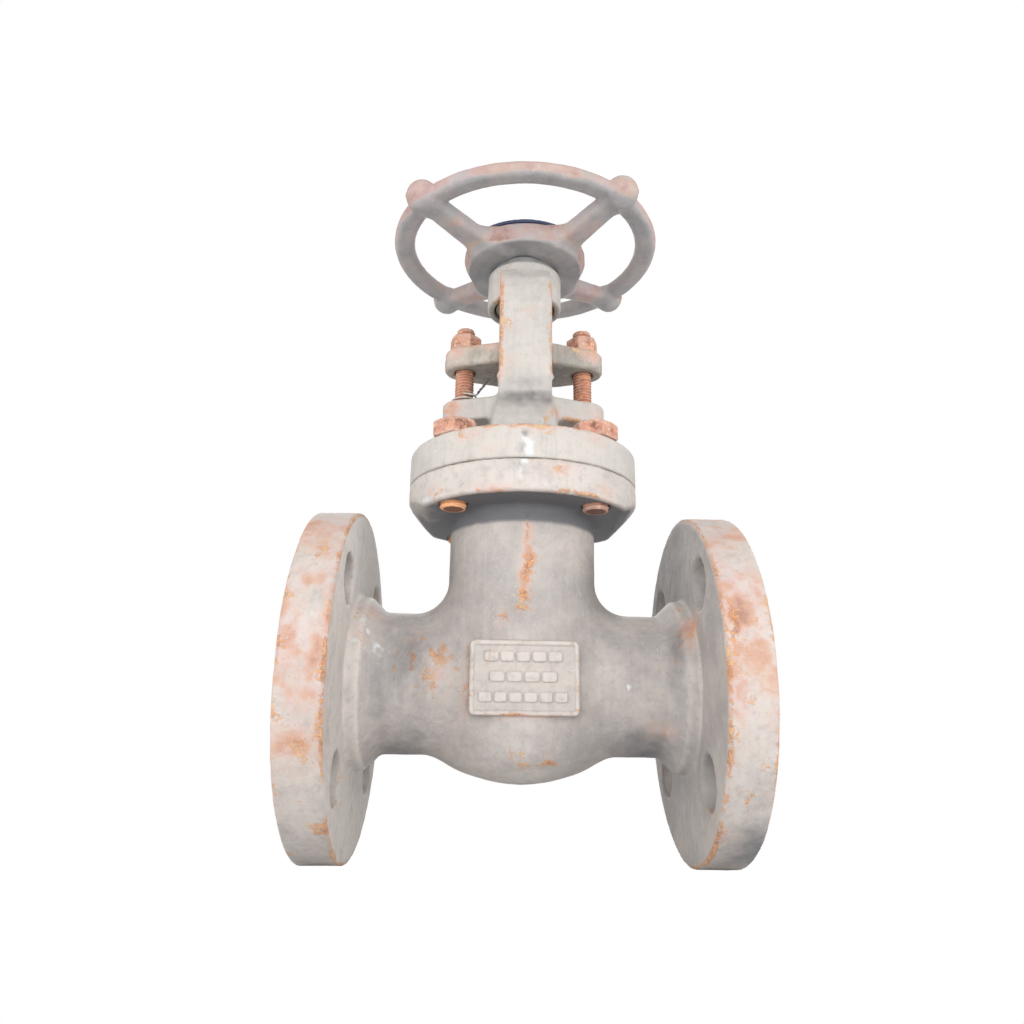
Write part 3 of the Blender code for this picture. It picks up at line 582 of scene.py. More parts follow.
def ring_field(corners, edge=0.0):
    def field(p):
        return turned(p, corners, edge)
    return field


def gland_ring_field(low, high):
    """The gland: a tube that presses on the packing, with a narrow collar under the gland flange."""
    collar = high.z - 0.0040
    return ring_field([(0.0083, low.z), (0.0122, low.z), (0.0129, low.z + 0.0008), (0.0129, collar - 0.0004),
                       (0.0136, collar), (0.0136, high.z - 0.0005), (0.0131, high.z), (0.0083, high.z)])


def washer_field(low, high):
    return ring_field([(0.0138, low.z), (high.x - 0.0004, low.z), (high.x, low.z + 0.0004),
                       (high.x, high.z - 0.0004), (high.x - 0.0004, high.z), (0.0138, high.z)])


def yoke_nut_field(p):
    """The bronze sleeve, its two drive flats inside the hub and its thread for the wheel's nut."""
    sleeve = union(disc(p, 0.0149, 0.1930, 0.1977, 0.0004), disc(p, 0.0135, 0.1930, 0.2149, 0.0004))
    drive = np.maximum(disc(p, 0.0132, 0.2130, 0.2269, 0.0004), np.abs(p[:, 0]) - 0.0110)
    top = disc(p, WHEEL_NUT_RADIUS, 0.2130, 0.2360, 0.0008)
    top = common(top, thread(p, WHEEL_NUT_RADIUS, 0.0015, 0.0007, 0.12), 0.0001)
    nut = union(union(sleeve, drive), top)
    return cut(nut, disc(p, 0.0083, 0.18, 0.25), 0.0006)


def plate_field(p):
    """The round plate on the hub, with a raised border and a raised ring."""
    low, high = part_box("identification_plate")
    plate = disc(p, high.x, low.z, high.z, 0.0003)
    groove = disc(p, high.x - 0.0018, high.z - 0.0005, 1)
    groove = np.maximum(groove, 0.0200 - np.hypot(p[:, 0], p[:, 1]))
    plate = cut(plate, groove, 0.0002)
    return cut(plate, disc(p, 0.0135, 0.2, 0.3), 0.0002)


def wheel_nut_field(p):
    low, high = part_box("handwheel_nut")
    nut = hexagon(p, 0.0300, low.z, high.z, 0.0, 0.0006)
    return cut(nut, disc(p, 0.0109, 0.2, 0.3), 0.0006)


# ---------------------------------------------------------------- where the marks are

# A spot is its centre in X, Y and Z, its reach in X, Y and Z, and its strength, in millimetres.
BODY_SPOTS = {
    # The pale spots are painted light on the belly's lower front and on the lower left flange.
    "pale_and_lit": [(0, -36, -28, 17, 12, 12, 0.8), (0, -20, -38, 20, 14, 6, 0.9), (-92, -40, -62, 8, 20, 14, 0.3)],
    # The bevel spot is painted light on the slanted facet at the left of the top flange's underside, and there
    # thins the painted shade under that flange.
    "lit_bevel": [(-50, -26, 80, 9, 30, 9, 0.7)],
    "specks": [(-42, -31, 8, 26, 12, 22, 1.0), (66, -30, 16, 8, 12, 26, 0.8), (-12, -33, 36, 14, 6, 10, 0.7)],
    "stain": [
        # the rims of the left and the right end flange
        (-91, -55, 54, 6, 14, 12, 0.75), (-89, -77, 6, 7, 9, 15, 0.95), (-79, -77, 4, 4, 9, 16, 0.9),
        (-84, -73, -27, 12, 9, 9, 1.0), (-76, -75, -19, 4, 9, 18, 0.8), (-80, -66, 36, 6, 12, 12, 0.5),
        (82, -74, 24, 7, 9, 12, 1.1), (86, -77, 6, 10, 9, 14, 0.85), (80, -77, -10, 5, 9, 18, 0.8),
        (91, -70, 33, 6, 12, 16, 0.75), (88, -50, 58, 8, 14, 12, 0.32), (92, -75, -20, 5, 9, 16, 0.5),
        # the top flange
        (14, -54, 87, 10, 6, 6, 0.75), (-16, -53, 79, 14, 6, 3, 0.6), (36, -42, 82, 16, 8, 5, 0.55),
        (-40, -37, 82, 10, 8, 4, 0.6),
        # the neck, the run left of the chest, and round the name pad
        (1, -35, 52, 4, 4, 26, 1.0), (-9, -33, 27, 5, 4, 8, 0.5), (-48, -27, 14, 5, 8, 12, 0.5),
        (-35, -31, 6, 7, 6, 9, 0.6), (-24.5, -28, 0, 2.5, 8, 19, 0.8), (0, -36, -16, 26, 4, 2, 0.6),
        # the belly and the hubs
        (-6, -34, -34, 5, 5, 4, 0.5), (12, -33, -36, 6, 6, 5, 0.7), (60, -25, -20, 10, 8, 8, 0.6),
        (71, -32, 22, 6, 10, 12, 0.9), (-70, -34, 20, 6, 10, 12, 0.35), (-66, -20, 30, 8, 10, 8, 0.6),
        (66, -30, 14, 6, 10, 12, 0.4),
    ],
    "rust": [
        # the back
        (30, 45, 78, 14, 9, 2, 0.85), (-20, 52, 86, 7, 8, 4, 0.8), (1, 35, 52, 2.6, 4, 20, 0.9),
        # the rims of the left and the right end flange
        (-91, -77, 7, 3, 9, 9, 0.8), (-76, -77, 2, 1.6, 9, 22, 0.8), (-83, -73, -28, 7, 9, 4, 0.85),
        (-76, -75, -21, 1.6, 9, 13, 0.8), (-78, -51, -59, 4, 6, 6, 1.0), (-84, -60, -50, 5, 5, 3, 0.6),
        (78, -76, 20, 2.6, 9, 16, 1.2), (86, -75, 20, 6, 9, 7, 0.6), (81, -77, 8, 3, 9, 8, 0.7),
        (77, -74, -24, 1.2, 9, 22, 0.8), (76, -48, -60, 1.4, 12, 14, 0.7), (92, -72, 30, 3, 9, 7, 0.5),
        # the top flange
        (13, -54, 89, 4, 6, 2.4, 0.9), (17, -53, 82, 4, 6, 2.4, 0.9), (-14, -53, 77.4, 10, 6, 1.4, 0.8),
        (-37, -40, 79, 6, 8, 2, 0.9), (24, -49, 77.6, 18, 8, 1.4, 0.8),
        # the neck
        (3, -35, 76, 4, 4, 2, 0.5), (0.6, -35, 66, 1.8, 4, 11, 1.1), (1.6, -35, 50, 4.2, 4, 10, 1.2),
        (1.6, -35, 38, 3.8, 4, 8, 1.15), (0, -35, 29, 4, 4, 3.5, 1.0), (-9, -34, 26, 4, 4, 2.2, 0.95),
        (7, -34, 60, 0.8, 4, 7, 0.8),
        # the run left of the chest, and round the name pad
        (-48, -27, 17, 1.6, 5, 7, 0.8), (-35, -31, 9, 4, 6, 6, 0.85), (-41, -31, 1, 5, 6, 8, 0.8),
        (-37, -31, -6, 6, 6, 3, 0.8), (-24, -29, 1, 1.3, 8, 17, 0.95), (-4, -35, -16, 20, 4, 1.2, 0.85),
        (-60, -28, 26, 6, 8, 3, 0.7), (-68, -36, 14, 3, 6, 3, 0.6), (-44, -26, 20, 2, 6, 4, 0.7),
        # the belly and the hubs
        (-5, -34, -33, 3, 4, 2, 0.7), (10, -27, -34, 5, 8, 2.6, 1.15), (-4, -31, -31, 6, 6, 4, 0.75),
        (2, -27, -35, 14, 8, 1.2, 0.7), (60, -23, -22, 5, 6, 5, 0.6), (73, -32, 24, 2, 9, 9, 0.85),
        (69, -20, 34, 4, 9, 3, 0.8), (-73, -30, 26, 2, 9, 5, 0.5),
    ],
    # Most of these grime spots are painted shade: they darken the pipes' lower halves, the belly's bottom, the
    # lower flanges, the hubs' sides, the neck's right and under the top flange. The first is a dark streak
    # below the top flange's front.
    "grime_and_shade": [
        (-2.5, -55, 88, 1.6, 4, 3, 0.6), (-62, -26, -2, 7, 12, 26, 0.55), (63, -20, 24, 5, 6, 8, 0.35),
        (22, -34, 62, 20, 12, 12, 0.25), (0, 0, -44, 14, 26, 4, 0.3), (-50, -26, 4, 20, 14, 26, 0.56),
        (50, -26, 4, 20, 14, 26, 0.52), (52, 0, -30, 20, 60, 19, 0.68), (-52, 0, -30, 20, 60, 19, 0.64),
        (93, -40, -66, 18, 34, 20, 0.7), (-93, -50, -58, 9, 20, 9, 0.4), (66, -30, 10, 8, 14, 30, 0.62),
        (-84, -76, -50, 12, 20, 5, 0.35), (47, -30, 74, 8, 16, 5, 0.4),
    ],
    "chalk": [
        (-0.4, -55, 89.5, 2, 4, 2.2, 0.95), (-1.2, -55, 84, 1.4, 4, 5, 0.8), (0, -35, 66, 1.2, 3, 7, 0.55),
        (-66, -30, 20, 1.4, 8, 1.4, 0.9), (-64, -31, 12, 7, 8, 6, 0.42), (-69, -30, 24, 1.5, 8, 1.3, 0.85),
        (-75, -44, 42, 3, 9, 7, 0.7), (-63, -29, 14, 1.6, 6, 1.6, 0.8), (45, -31, -2, 1.2, 3, 1.6, 0.95),
        (-47, -28, 5, 1.2, 4, 1.2, 0.8), (-44, -34, 78, 6, 6, 2.4, 0.75), (-71, -36, 15, 1.6, 8, 1.8, 0.85),
    ],
}
BONNET_SPOTS = {
    "stain": [
        (-7, -29, 168, 6, 6, 7, 0.6), (0, -29, 176, 8, 6, 4, 0.5), (5, -29, 158, 6, 6, 8, 0.4),
        (-36, -10, 132, 9, 9, 7, 0.95), (37, -10, 132, 9, 9, 7, 0.75), (-9, -29, 150, 5, 6, 10, 0.55),
        (14, -20, 128, 6, 9, 5, 0.75), (0, -55, 106.5, 60, 9, 2.4, 0.7), (-26, -48, 104, 12, 8, 5, 0.6),
        (30, -46, 104, 12, 8, 5, 0.6), (-18, -52, 95, 14, 8, 4, 0.4), (0, 55, 104, 60, 9, 5, 0.5),
    ],
    "rust": [
        (-20, 50, 106.5, 24, 9, 1.4, 0.75), (22, 47, 99, 5, 8, 4, 0.7), (-5, 29, 160, 5, 6, 7, 0.65),
        (0, 0, 108, 50, 50, 1.5, 0.35), (-14, 12, 208, 6, 6, 3, 0.6), (-9, -29, 170, 3, 6, 5, 0.7),
        (0, -29, 179, 5, 6, 1.6, 0.5), (11, -29, 168, 1.5, 6, 8, 0.7), (-38, -9, 130, 4, 8, 4, 0.85),
        (38, -9, 130, 4, 8, 4, 0.8), (24, -11, 126.5, 12, 8, 1.4, 0.8), (0, -55, 107, 50, 9, 1, 0.75),
        (-28, -47, 105, 4, 8, 3, 0.7), (12, -54, 104, 6, 8, 2, 0.55), (28, -47, 100, 6, 8, 3, 0.4),
        (14, -21, 127, 2.4, 8, 5, 0.95), (11, -24, 122, 1.6, 8, 4, 0.8),
    ],
    # The first two grime spots are painted shade on the front arm's foot, where it curves out over the shelf;
    # the third darkens the cone's front below the shelf; the last two are dark streaks below the flange's
    # front.
    "grime_and_shade": [
        (0, -28, 138.5, 16, 6, 5, 0.46), (0, -25, 132.5, 17, 8, 4.4, 0.72), (0, -24, 112, 24, 9, 4, 0.3),
        (0.8, -55, 103.6, 2.2, 4, 2.2, 0.72), (-2.8, -55, 96, 1.2, 4, 5, 0.5),
    ],
    "chalk": [
        (0.2, -55, 98.4, 2.7, 4, 4.4, 1.15), (0.6, -55, 94, 2.2, 4, 3.4, 1.0), (2, -24, 131, 5, 6, 1.6, 0.35),
        (-42, -36, 100, 2.6, 5, 0.7, 0.8),
    ],
}
WHEEL_SPOTS = {
    "rust": [
        (1, -31, 220, 10, 5, 1.4, 0.6), (19.7, -65, 230.5, 3, 4, 1.6, 1.0), (30, -8, 219, 3, 9, 4, 0.5),
        (-31, -4, 219, 3, 9, 4, 0.5), (0, 31, 220, 12, 5, 2, 0.5),
    ],
    "chalk": [(-28, -61, 230, 7, 5, 1, 0.5), (-17, -65, 231, 3, 4, 0.8, 0.5)],
}
GLAND_SPOTS = {
    "stain": [(-34, -8, 160, 10, 8, 8, 0.7), (34, -8, 161, 8, 8, 6, 0.5)],
    "rust": [
        (-36, -6, 160, 4, 8, 3, 0.7), (22, -12, 164, 9, 8, 2, 0.6), (38, -4, 160, 3, 8, 3, 0.6),
        (-24, -12, 165, 6, 8, 2, 0.6),
    ],
    "grime_and_shade": [(-26, -14, 160, 12, 10, 8, 0.4), (20, -14, 157, 12, 12, 4, 0.35)],
}


def spots(p, table):
    """How deep each point is in each kind of spot. Spots are soft and ragged, and the strongest counts."""
    drift = [noise(p, 0.0060, seed) + 0.7 * noise(p, 0.0028, seed + 3) for seed in (41, 42, 43)]
    drifted = p * 1000 + np.stack(drift, axis=1) * (1.7, 0.5, 1.7)
    depths = {kind: np.zeros(len(p)) for kind in table}
    for kind, places in table.items():
        for *centre, reach_x, reach_y, reach_z, strength in places:
            away = (((drifted - np.array(centre)) / (reach_x, reach_y, reach_z)) ** 2).sum(axis=1)
            depths[kind] = np.maximum(depths[kind], strength * np.exp(-away))
    return depths


def band(values, low, high, soft):
    """1 where the values are between low and high, and fading to 0 over soft."""
    return np.clip((values - low) / soft + 1, 0, 1) * np.clip((high - values) / soft + 1, 0, 1)


def joint_line(z):
    """The dark line where the two round flanges meet."""
    return 0.35 * np.exp(-((z - JOINT_LEVEL) / 0.0005) ** 2)


def body_marks(p):
    x, y, z = p.T
    at = spots(p, BODY_SPOTS)
    out, around_run, around_stem = np.abs(x), np.hypot(y, z), np.hypot(x, y)
    rim = band(around_run, FLANGE_RADIUS - 0.0015, 1, 0.0010) * (out > 0.0735)
    rim_edge = rim * band(out, 0.0735, 0.0764, 0.0008)
    top_rim = band(around_stem, TOP_FLANGE_RADIUS - 0.0010, 1, 0.0008) * (z > 0.0760)
    hub_edge = band(around_run, HUB_RADIUS - 0.0014, HUB_RADIUS + 0.0006, 0.0005)
    hub_edge = hub_edge * band(out, 0.0690, 0.0746, 0.0008)
    inner_face = band(out, 0.0728, 0.0752, 0.0005) * band(around_run, 0.0395, FLANGE_RADIUS - 0.0015, 0.0010)
    outer_face = (out > FACE - RAISED_FACE - 0.0006) * (around_run > GASKET_RADIUS + 0.0005)
    raised_face = (out > FACE - 0.0003) * (around_run < GASKET_RADIUS)
    holes = in_fours(y, z, LINE_HOLE_OFFSET) < LINE_HOLE_RADIUS + 0.0005
    # Painted shade inside the bore and the line holes.
    inside = np.maximum((around_run < BORE_RADIUS + 0.0006) * 1.0, 0.7 * holes * (out > FLANGE_BACK))
    # Painted shade under the top flange.
    shade_under_flange = band(z, 0.0700, 0.0800, 0.0030) * band(around_stem, 0.0, 0.0525, 0.0010)
    pad_top = band(-y, PAD_FRONT - 0.0004, 1, 0.0003) * (out < 0.025) * (np.abs(z) < 0.018)
    pad_zone = (out < 0.0242) * (np.abs(z) < 0.0165) * (y < -0.034)
    height = np.clip((z + 0.066) / 0.060, 0, 1)  # the rims are paler and more stained higher up
    blotches = 0.8 * noise(p, 0.0120, 21) + 0.6 * noise(p, 0.0050, 22)

    # Paler colour: the machined rims, raised faces and pad are paler; on the left flange's inner face, at the
    # pale spots and at the bevel spot it is painted light. The left hub's edge is paler than the right's.
    pale_and_lit = np.maximum.reduce([
        rim * (0.20 + 0.50 * height - 0.3 * blotches), 0.75 * top_rim, hub_edge * np.where(x < 0, 1.3, 0.35),
        1.2 * inner_face * (x < 0), 0.5 * raised_face, pad_top, 0.45 * pad_zone, at["pale_and_lit"], at["lit_bevel"],
    ])
    stain = np.maximum.reduce([
        rim * (0.12 + 0.43 * height + 0.50 * blotches * (0.4 + 0.6 * height)),
        outer_face * (0.15 + 0.7 * blotches), 1.15 * at["stain"],
    ])
    rust = np.maximum.reduce([
        0.75 * rim_edge * np.clip(0.55 + 0.9 * noise(p, 0.0100, 23), 0, 1),
        rim * np.clip(0.55 * noise(p, 0.0090, 24) + 0.5 * noise(p, 0.0035, 25), 0, 0.8),
        outer_face * np.clip(0.9 * noise(p, 0.0140, 26) + 0.5 * noise(p, 0.0040, 25), 0, 0.8),
        0.95 * at["specks"] * np.clip((noise(p, 0.0034, 28) - 0.22) / 0.30, 0, 1), at["rust"],
    ])
    # Darker colour: the joint's dark line and the grime spots, with painted shade under the top flange, in the
    # bore and holes, and on the right flange's inner face.
    grime_and_shade = np.maximum.reduce([
        joint_line(z) * top_rim, 0.85 * shade_under_flange * (1 - 0.9 * at["lit_bevel"]), 0.5 * inside,
        0.42 * inner_face * (x > 0) * np.clip(z / 0.050 + 0.2, 0, 1), at["grime_and_shade"],
    ])
    return {"pale_and_lit": pale_and_lit, "stain": stain, "rust": rust, "grime_and_shade": grime_and_shade, "chalk": at["chalk"],
            "face": raised_face * 1.0}


def bonnet_marks(p):
    x, y, z = p.T
    at = spots(p, BONNET_SPOTS)
    front = y < 0
    left_edge = band(x, -0.0140, -0.0108, 0.0010) * band(z, 0.1400, 0.2040, 0.0040) * front
    right_edge = band(x, 0.0112, 0.0140, 0.0008) * band(z, 0.1430, 0.1930, 0.0040) * front
    rear_edge = band(x, 0.0112, 0.0140, 0.0008) * band(z, 0.1430, 0.1990, 0.0040) * (y > 0)
    upper = band(z, 0.1480, 0.1900, 0.0080)
    rim = band(np.hypot(x, y), TOP_FLANGE_RADIUS - 0.0010, 1, 0.0008)
    return {
        "pale_and_lit": np.maximum(0.6 * rim, 0.3 * band(z, 0.1440, 0.1980, 0.0040) * front),
        "stain": np.maximum.reduce([0.65 * left_edge, 0.45 * right_edge, at["stain"]]),
        "rust": np.maximum.reduce([0.72 * left_edge * upper, 0.42 * right_edge, 0.5 * rear_edge, at["rust"]]),
        # Darker colour: the joint's dark line and the grime spots, among them the painted shade at the arm's
        # foot.
        "grime_and_shade": np.maximum(joint_line(z), at["grime_and_shade"]),
        "chalk": at["chalk"],
    }


def wheel_marks(p):
    z, radius = p[:, 2], np.hypot(p[:, 0], p[:, 1])
    at = spots(p, WHEEL_SPOTS)
    outer_top = np.clip((z - RIM_LEVEL) / 0.0034 + (radius - RIM_RADIUS) / 0.0045 + 0.40, 0, 1)
    outer_top = outer_top * (radius > 0.050)
    hub_band = band(radius, 0.0300, 0.0330, 0.0006) * band(z, 0.2165, 0.2300, 0.0010)
    inner_part = np.clip((0.066 - radius) / 0.016, 0, 1) * (z > 0.2162)
    mottling = noise(p, 0.0090, 31) + 0.6 * noise(p, 0.0035, 32)
    stain = np.maximum.reduce([0.95 * outer_top, 0.90 * hub_band, 0.62 * inner_part]) + 0.32 * mottling
    # Painted shade: the undersides of the rim and the spokes, and the hub's underside, are darkened.
    level = np.interp(radius, [0.026, 0.038, RIM_RADIUS, 0.080], [0.2180, 0.2196, 0.2262, 0.2262])
    underside = np.clip((level - z) / 0.0035 + 0.35, 0, 1) * (radius > 0.0325)
    shade_under_hub = band(z, 0.2000, 0.2158, 0.0006) * (radius < 0.031)
    grime_and_shade = np.maximum(0.30 * underside - 0.12 * mottling, 0.44 * shade_under_hub)
    return {"stain": stain, "rust": at["rust"], "grime_and_shade": grime_and_shade, "chalk": at["chalk"]}


def bolt_marks(p):
    """The ends of the bonnet bolts get painted shade on their bottom faces, inside a ring of rust with painted
    light on it, which is brighter on the left.
    """
    x, y, z = p.T
    out = in_fours(x, y, BOLT_OFFSET)
    ring = (z < 0.0790) * np.where(x < 0, 1.0, 0.5)
    return {"grime_and_shade": 1.0 * (z < BOLT_LOW.z + 0.0009) * (out < 0.0046), "rust": ring}


def gland_marks(p):
    at = spots(p, GLAND_SPOTS)
    top = 0.70 * band(p[:, 2], 0.1645, 0.1700, 0.0060) * (0.7 + 0.6 * noise(p, 0.0060, 33))
    return {"stain": top + at["stain"], "rust": at["rust"], "grime_and_shade": at["grime_and_shade"]}


# ---------------------------------------------------------------- materials


def opaque(colour):
    return colour if isinstance(colour, bpy.types.NodeSocket) else (*colour, 1.0)


class Surface:
    """A material's node tree, built up from a base colour in layers."""

    def __init__(self, name, colour, roughness, metallic=0.0):
        self.material = bpy.data.materials.new(name)
        self.material.use_nodes = True
        self.tree = self.material.node_tree
        self.shader = self.tree.nodes["Principled BSDF"]
        self.shader.inputs["Metallic"].default_value = metallic
        self.place = self.node("ShaderNodeTexCoord").outputs["Object"]
        self.colour = colour
        self.roughness = roughness
        self.normal = None

    def node(self, kind, *values, **settings):
        """A new node. values go into its inputs in order, and None leaves one as it is."""
        node = self.tree.nodes.new(kind)
        for key, value in settings.items():
            setattr(node, key, value)
        for socket, value in zip(node.inputs, values):
            self.feed(socket, value)
        return node

    def feed(self, socket, value):
        if isinstance(value, bpy.types.NodeSocket):
            self.tree.links.new(value, socket)
        elif value is not None:
            socket.default_value = value

    def math(self, operation, a, b=None):
        return self.node("ShaderNodeMath", a, b, operation=operation).outputs[0]

    def add(self, a, b):
        return self.math("ADD", a, b)

    def times(self, a, b):
        return self.math("MULTIPLY", a, b)

    def noise(self, scale, detail=4.0, stretch=(1, 1, 1), seed=0.0):
        """Noise around 0.5. scale is in cycles a metre."""
        size = tuple(scale * s for s in stretch)
        mapping = self.node("ShaderNodeMapping", self.place, (seed, seed * 0.7, seed * 1.3), None, size)
        texture = self.node("ShaderNodeTexNoise", mapping.outputs[0])
        for socket, value in (("Scale", 1.0), ("Detail", detail), ("Roughness", 0.62)):
            texture.inputs[socket].default_value = value
        return texture.outputs["Fac"]

    def wobble(self, scale, detail, seed, size=1.0):
        """Noise around 0. size is how strong it is."""
        return self.times(self.math("SUBTRACT", self.noise(scale, detail, seed=seed), 0.5), size)

    def mark(self, name):
        return self.node("ShaderNodeAttribute", attribute_name=name).outputs["Fac"]

    def step(self, value, low, high, top=1.0):
        """From 0 to top, smoothly, as the value goes from low to high."""
        node = self.node("ShaderNodeMapRange", value, low, high, 0.0, top, interpolation_type="SMOOTHSTEP")
        return node.outputs[0]

    def mix(self, share, a, b):
        node = self.node("ShaderNodeMix", data_type="RGBA")
        for socket, value in (("Factor_Float", share), ("A_Color", opaque(a)), ("B_Color", opaque(b))):
            self.feed(next(s for s in node.inputs if s.identifier == socket), value)
        return next(s for s in node.outputs if s.identifier == "Result_Color")

    def layer(self, share, colour, roughness=None):
        """Lays another colour over what is there, as much as share says."""
        self.colour = self.mix(share, self.colour, colour)
        if roughness is not None:
            towards = self.times(share, self.math("SUBTRACT", roughness, self.roughness))
            self.roughness = self.add(self.roughness, towards)

    def patches(self, value, low, high, colour, top=1.0, roughness=None):
        """Lays another colour where the value is high, or low when low is above high."""
        self.layer(self.step(value, low, high, top), colour, roughness)

    def blotches(self, scale, detail, seed, low, high, colour, top=1.0, roughness=None):
        """Patches that follow noise."""
        self.patches(self.noise(scale, detail, seed=seed), low, high, colour, top, roughness)

    def relief(self, height, depth):
        """Bumps that are depth metres high."""
        node = self.node("ShaderNodeBump")
        node.inputs["Strength"].default_value = 1.0
        node.inputs["Distance"].default_value = depth
        self.feed(node.inputs["Height"], height)
        self.feed(node.inputs["Normal"], self.normal)
        self.normal = node.outputs["Normal"]

    def finished(self):
        self.feed(self.shader.inputs["Base Color"], opaque(self.colour))
        self.feed(self.shader.inputs["Roughness"], self.roughness)
        self.feed(self.shader.inputs["Normal"], self.normal)
        return self.material


ORANGE = (0.50, 0.235, 0.100)
YELLOW_RUST = (0.47, 0.345, 0.215)
DARK_RUST = (0.190, 0.085, 0.060)
PALE_RUST = (0.50, 0.36, 0.29)
# Bright orange rust for the bolt ends' ring, brightened as painted light.
RING_RUST_AND_LIGHT = (0.78, 0.37, 0.16)
# Painted shade for the bolt ends' bottom faces.
BOLT_END_SHADE = (0.13, 0.060, 0.042)
TARNISH = (0.30, 0.16, 0.09)
STAIN = (0.45, 0.305, 0.240)
PINK_STAIN = (0.45, 0.330, 0.310)
BURNT = (0.40, 0.232, 0.165)
# Bluish dark, for grime and for painted shade.
GRIME_AND_SHADE = (0.085, 0.088, 0.098)
CHALK = (0.48, 0.50, 0.515)


def shade(colour, factor):
    return tuple(channel * factor for channel in colour)


def rusted(surface, spread, edges, seed=0.0):
    """Rust where the noise, the edges and the rust marks together are strong enough."""
    coarse, fine = surface.noise(150, 5, seed=seed), surface.noise(750, 3, seed=seed + 3)
    pattern = surface.add(surface.times(coarse, 0.9), surface.times(fine, 0.7))
    level = surface.add(surface.math("SUBTRACT", pattern, 0.3), surface.times(surface.mark("rust"), 0.34))
    level = surface.add(level, surface.step(surface.mark("bend"), 0.35, 1.3, edges))
    share = surface.step(level, 0.70 - spread, 0.84 - spread, 0.92)
    tone = surface.mix(surface.step(fine, 0.38, 0.62), DARK_RUST, ORANGE)
    tone = surface.mix(surface.step(coarse, 0.50, 0.66, 0.7), tone, YELLOW_RUST)
    surface.layer(share, tone, 0.9)
    surface.relief(surface.times(share, fine), 0.00022)


def forged(name, tones, spread, edges, seed, streaks, mottle, stains=(PINK_STAIN, STAIN, BURNT)):
    """Forged or cast steel kept outdoors: mottled, stained, dirty and rusty, with painted light and painted
    shade laid on.

    spread is how readily it rusts, and edges how much more so at edges. The last stain is a strong one.
    """
    base, second, light = tones
    surface = Surface(name, base, 0.66)
    surface.blotches(32, 4, seed, 0.36, 0.64, second)
    uneven = surface.step(surface.noise(60, 4, seed=seed + 7), 0.10, 0.60)
    # The light tone where the pale mark says: paler machined rims, and painted light.
    surface.layer(surface.times(surface.mark("pale_and_lit"), uneven), light)
    surface.blotches(170, 5, seed + 1, 0.52, 0.74, light, 0.45 * mottle)
    surface.blotches(260, 5, seed + 8, 0.52, 0.34, shade(second, 0.78), 0.35 * mottle)
    runs = surface.noise(380, 4, (1, 1, 0.07), seed + 2)
    surface.patches(runs, 0.52, 0.72, light, streaks)
    surface.patches(runs, 0.48, 0.30, shade(second, 0.75), streaks)
    stain = surface.add(surface.mark("stain"), surface.wobble(48, 5, seed + 9, 1.3))
    stain = surface.add(stain, surface.wobble(210, 5, seed + 15, 0.8))
    hue = surface.mix(surface.step(surface.noise(70, 4, seed=seed + 11), 0.40, 0.60), stains[0], stains[1])
    yellow = surface.step(surface.noise(210, 5, seed=seed + 13), 0.54, 0.70, 0.5)
    surface.patches(stain, 0.20, 1.05, surface.mix(yellow, hue, YELLOW_RUST), 0.92, 0.8)
    strong = surface.add(stain, surface.wobble(95, 6, seed + 14))
    surface.patches(strong, 0.62, 1.05, stains[2], 0.80, 0.85)
    surface.patches(strong, 1.00, 1.40, DARK_RUST, 0.55, 0.85)
    surface.relief(surface.noise(480, 5, seed=seed + 4), 0.00022)
    surface.relief(surface.noise(1700, 3, seed=seed + 5), 0.00007)
    rusted(surface, spread, edges, seed)
    surface.blotches(850, 2, seed + 6, 0.655, 0.71, light, 0.7 * mottle)
    surface.blotches(700, 2, seed + 10, 0.34, 0.28, shade(second, 0.5), 0.35)
    # The grime mark lays grime and painted shade; the chalk mark lays chalk.
    for mark, colour, grain, variety in (("grime_and_shade", GRIME_AND_SHADE, 120, 0.45), ("chalk", CHALK, 420, 1.2)):
        patchy = surface.add(surface.mark(mark), surface.wobble(grain, 5, seed + 12, variety))
        surface.patches(patchy, 0.22, 0.85, colour, 0.92)
    return surface


def rusty(name, main, dark, bright, seed):
    """Steel that is rust all over."""
    surface = Surface(name, main, 0.85)
    surface.blotches(300, 5, seed, 0.42, 0.66, dark)
    surface.blotches(650, 5, seed + 1, 0.50, 0.68, bright, 0.9)
    surface.blotches(190, 4, seed + 2, 0.56, 0.70, PALE_RUST, 0.6)
    surface.patches(surface.mark("bend"), 0.5, 1.4, PALE_RUST, 0.4)
    # On the bolt ends: a ring of rust with painted light on it, and painted shade on their bottom faces.
    ring = surface.add(surface.mark("rust"), surface.wobble(520, 5, seed + 4))
    surface.patches(ring, 0.55, 1.1, RING_RUST_AND_LIGHT, 0.85)
    surface.patches(surface.mark("grime_and_shade"), 0.3, 1.0, BOLT_END_SHADE, 0.9)
    surface.relief(surface.noise(800, 5, seed=seed + 3), 0.00028)
    return surface.finished()


def machined(name, colour, roughness, metallic, seed):
    """Turned metal with fine marks round it, a little stained."""
    surface = Surface(name, colour, roughness, metallic)
    surface.blotches(90, 5, seed, 0.45, 0.70, shade(colour, 0.55), 0.5, 0.55)
    surface.relief(surface.noise(2600, 2, (0.02, 0.02, 1), seed + 1), 0.00006)
    surface.blotches(500, 4, seed + 2, 0.62, 0.75, TARNISH, 0.6, 0.7)
    return surface.finished()


GROOVE_PITCH = 0.0008


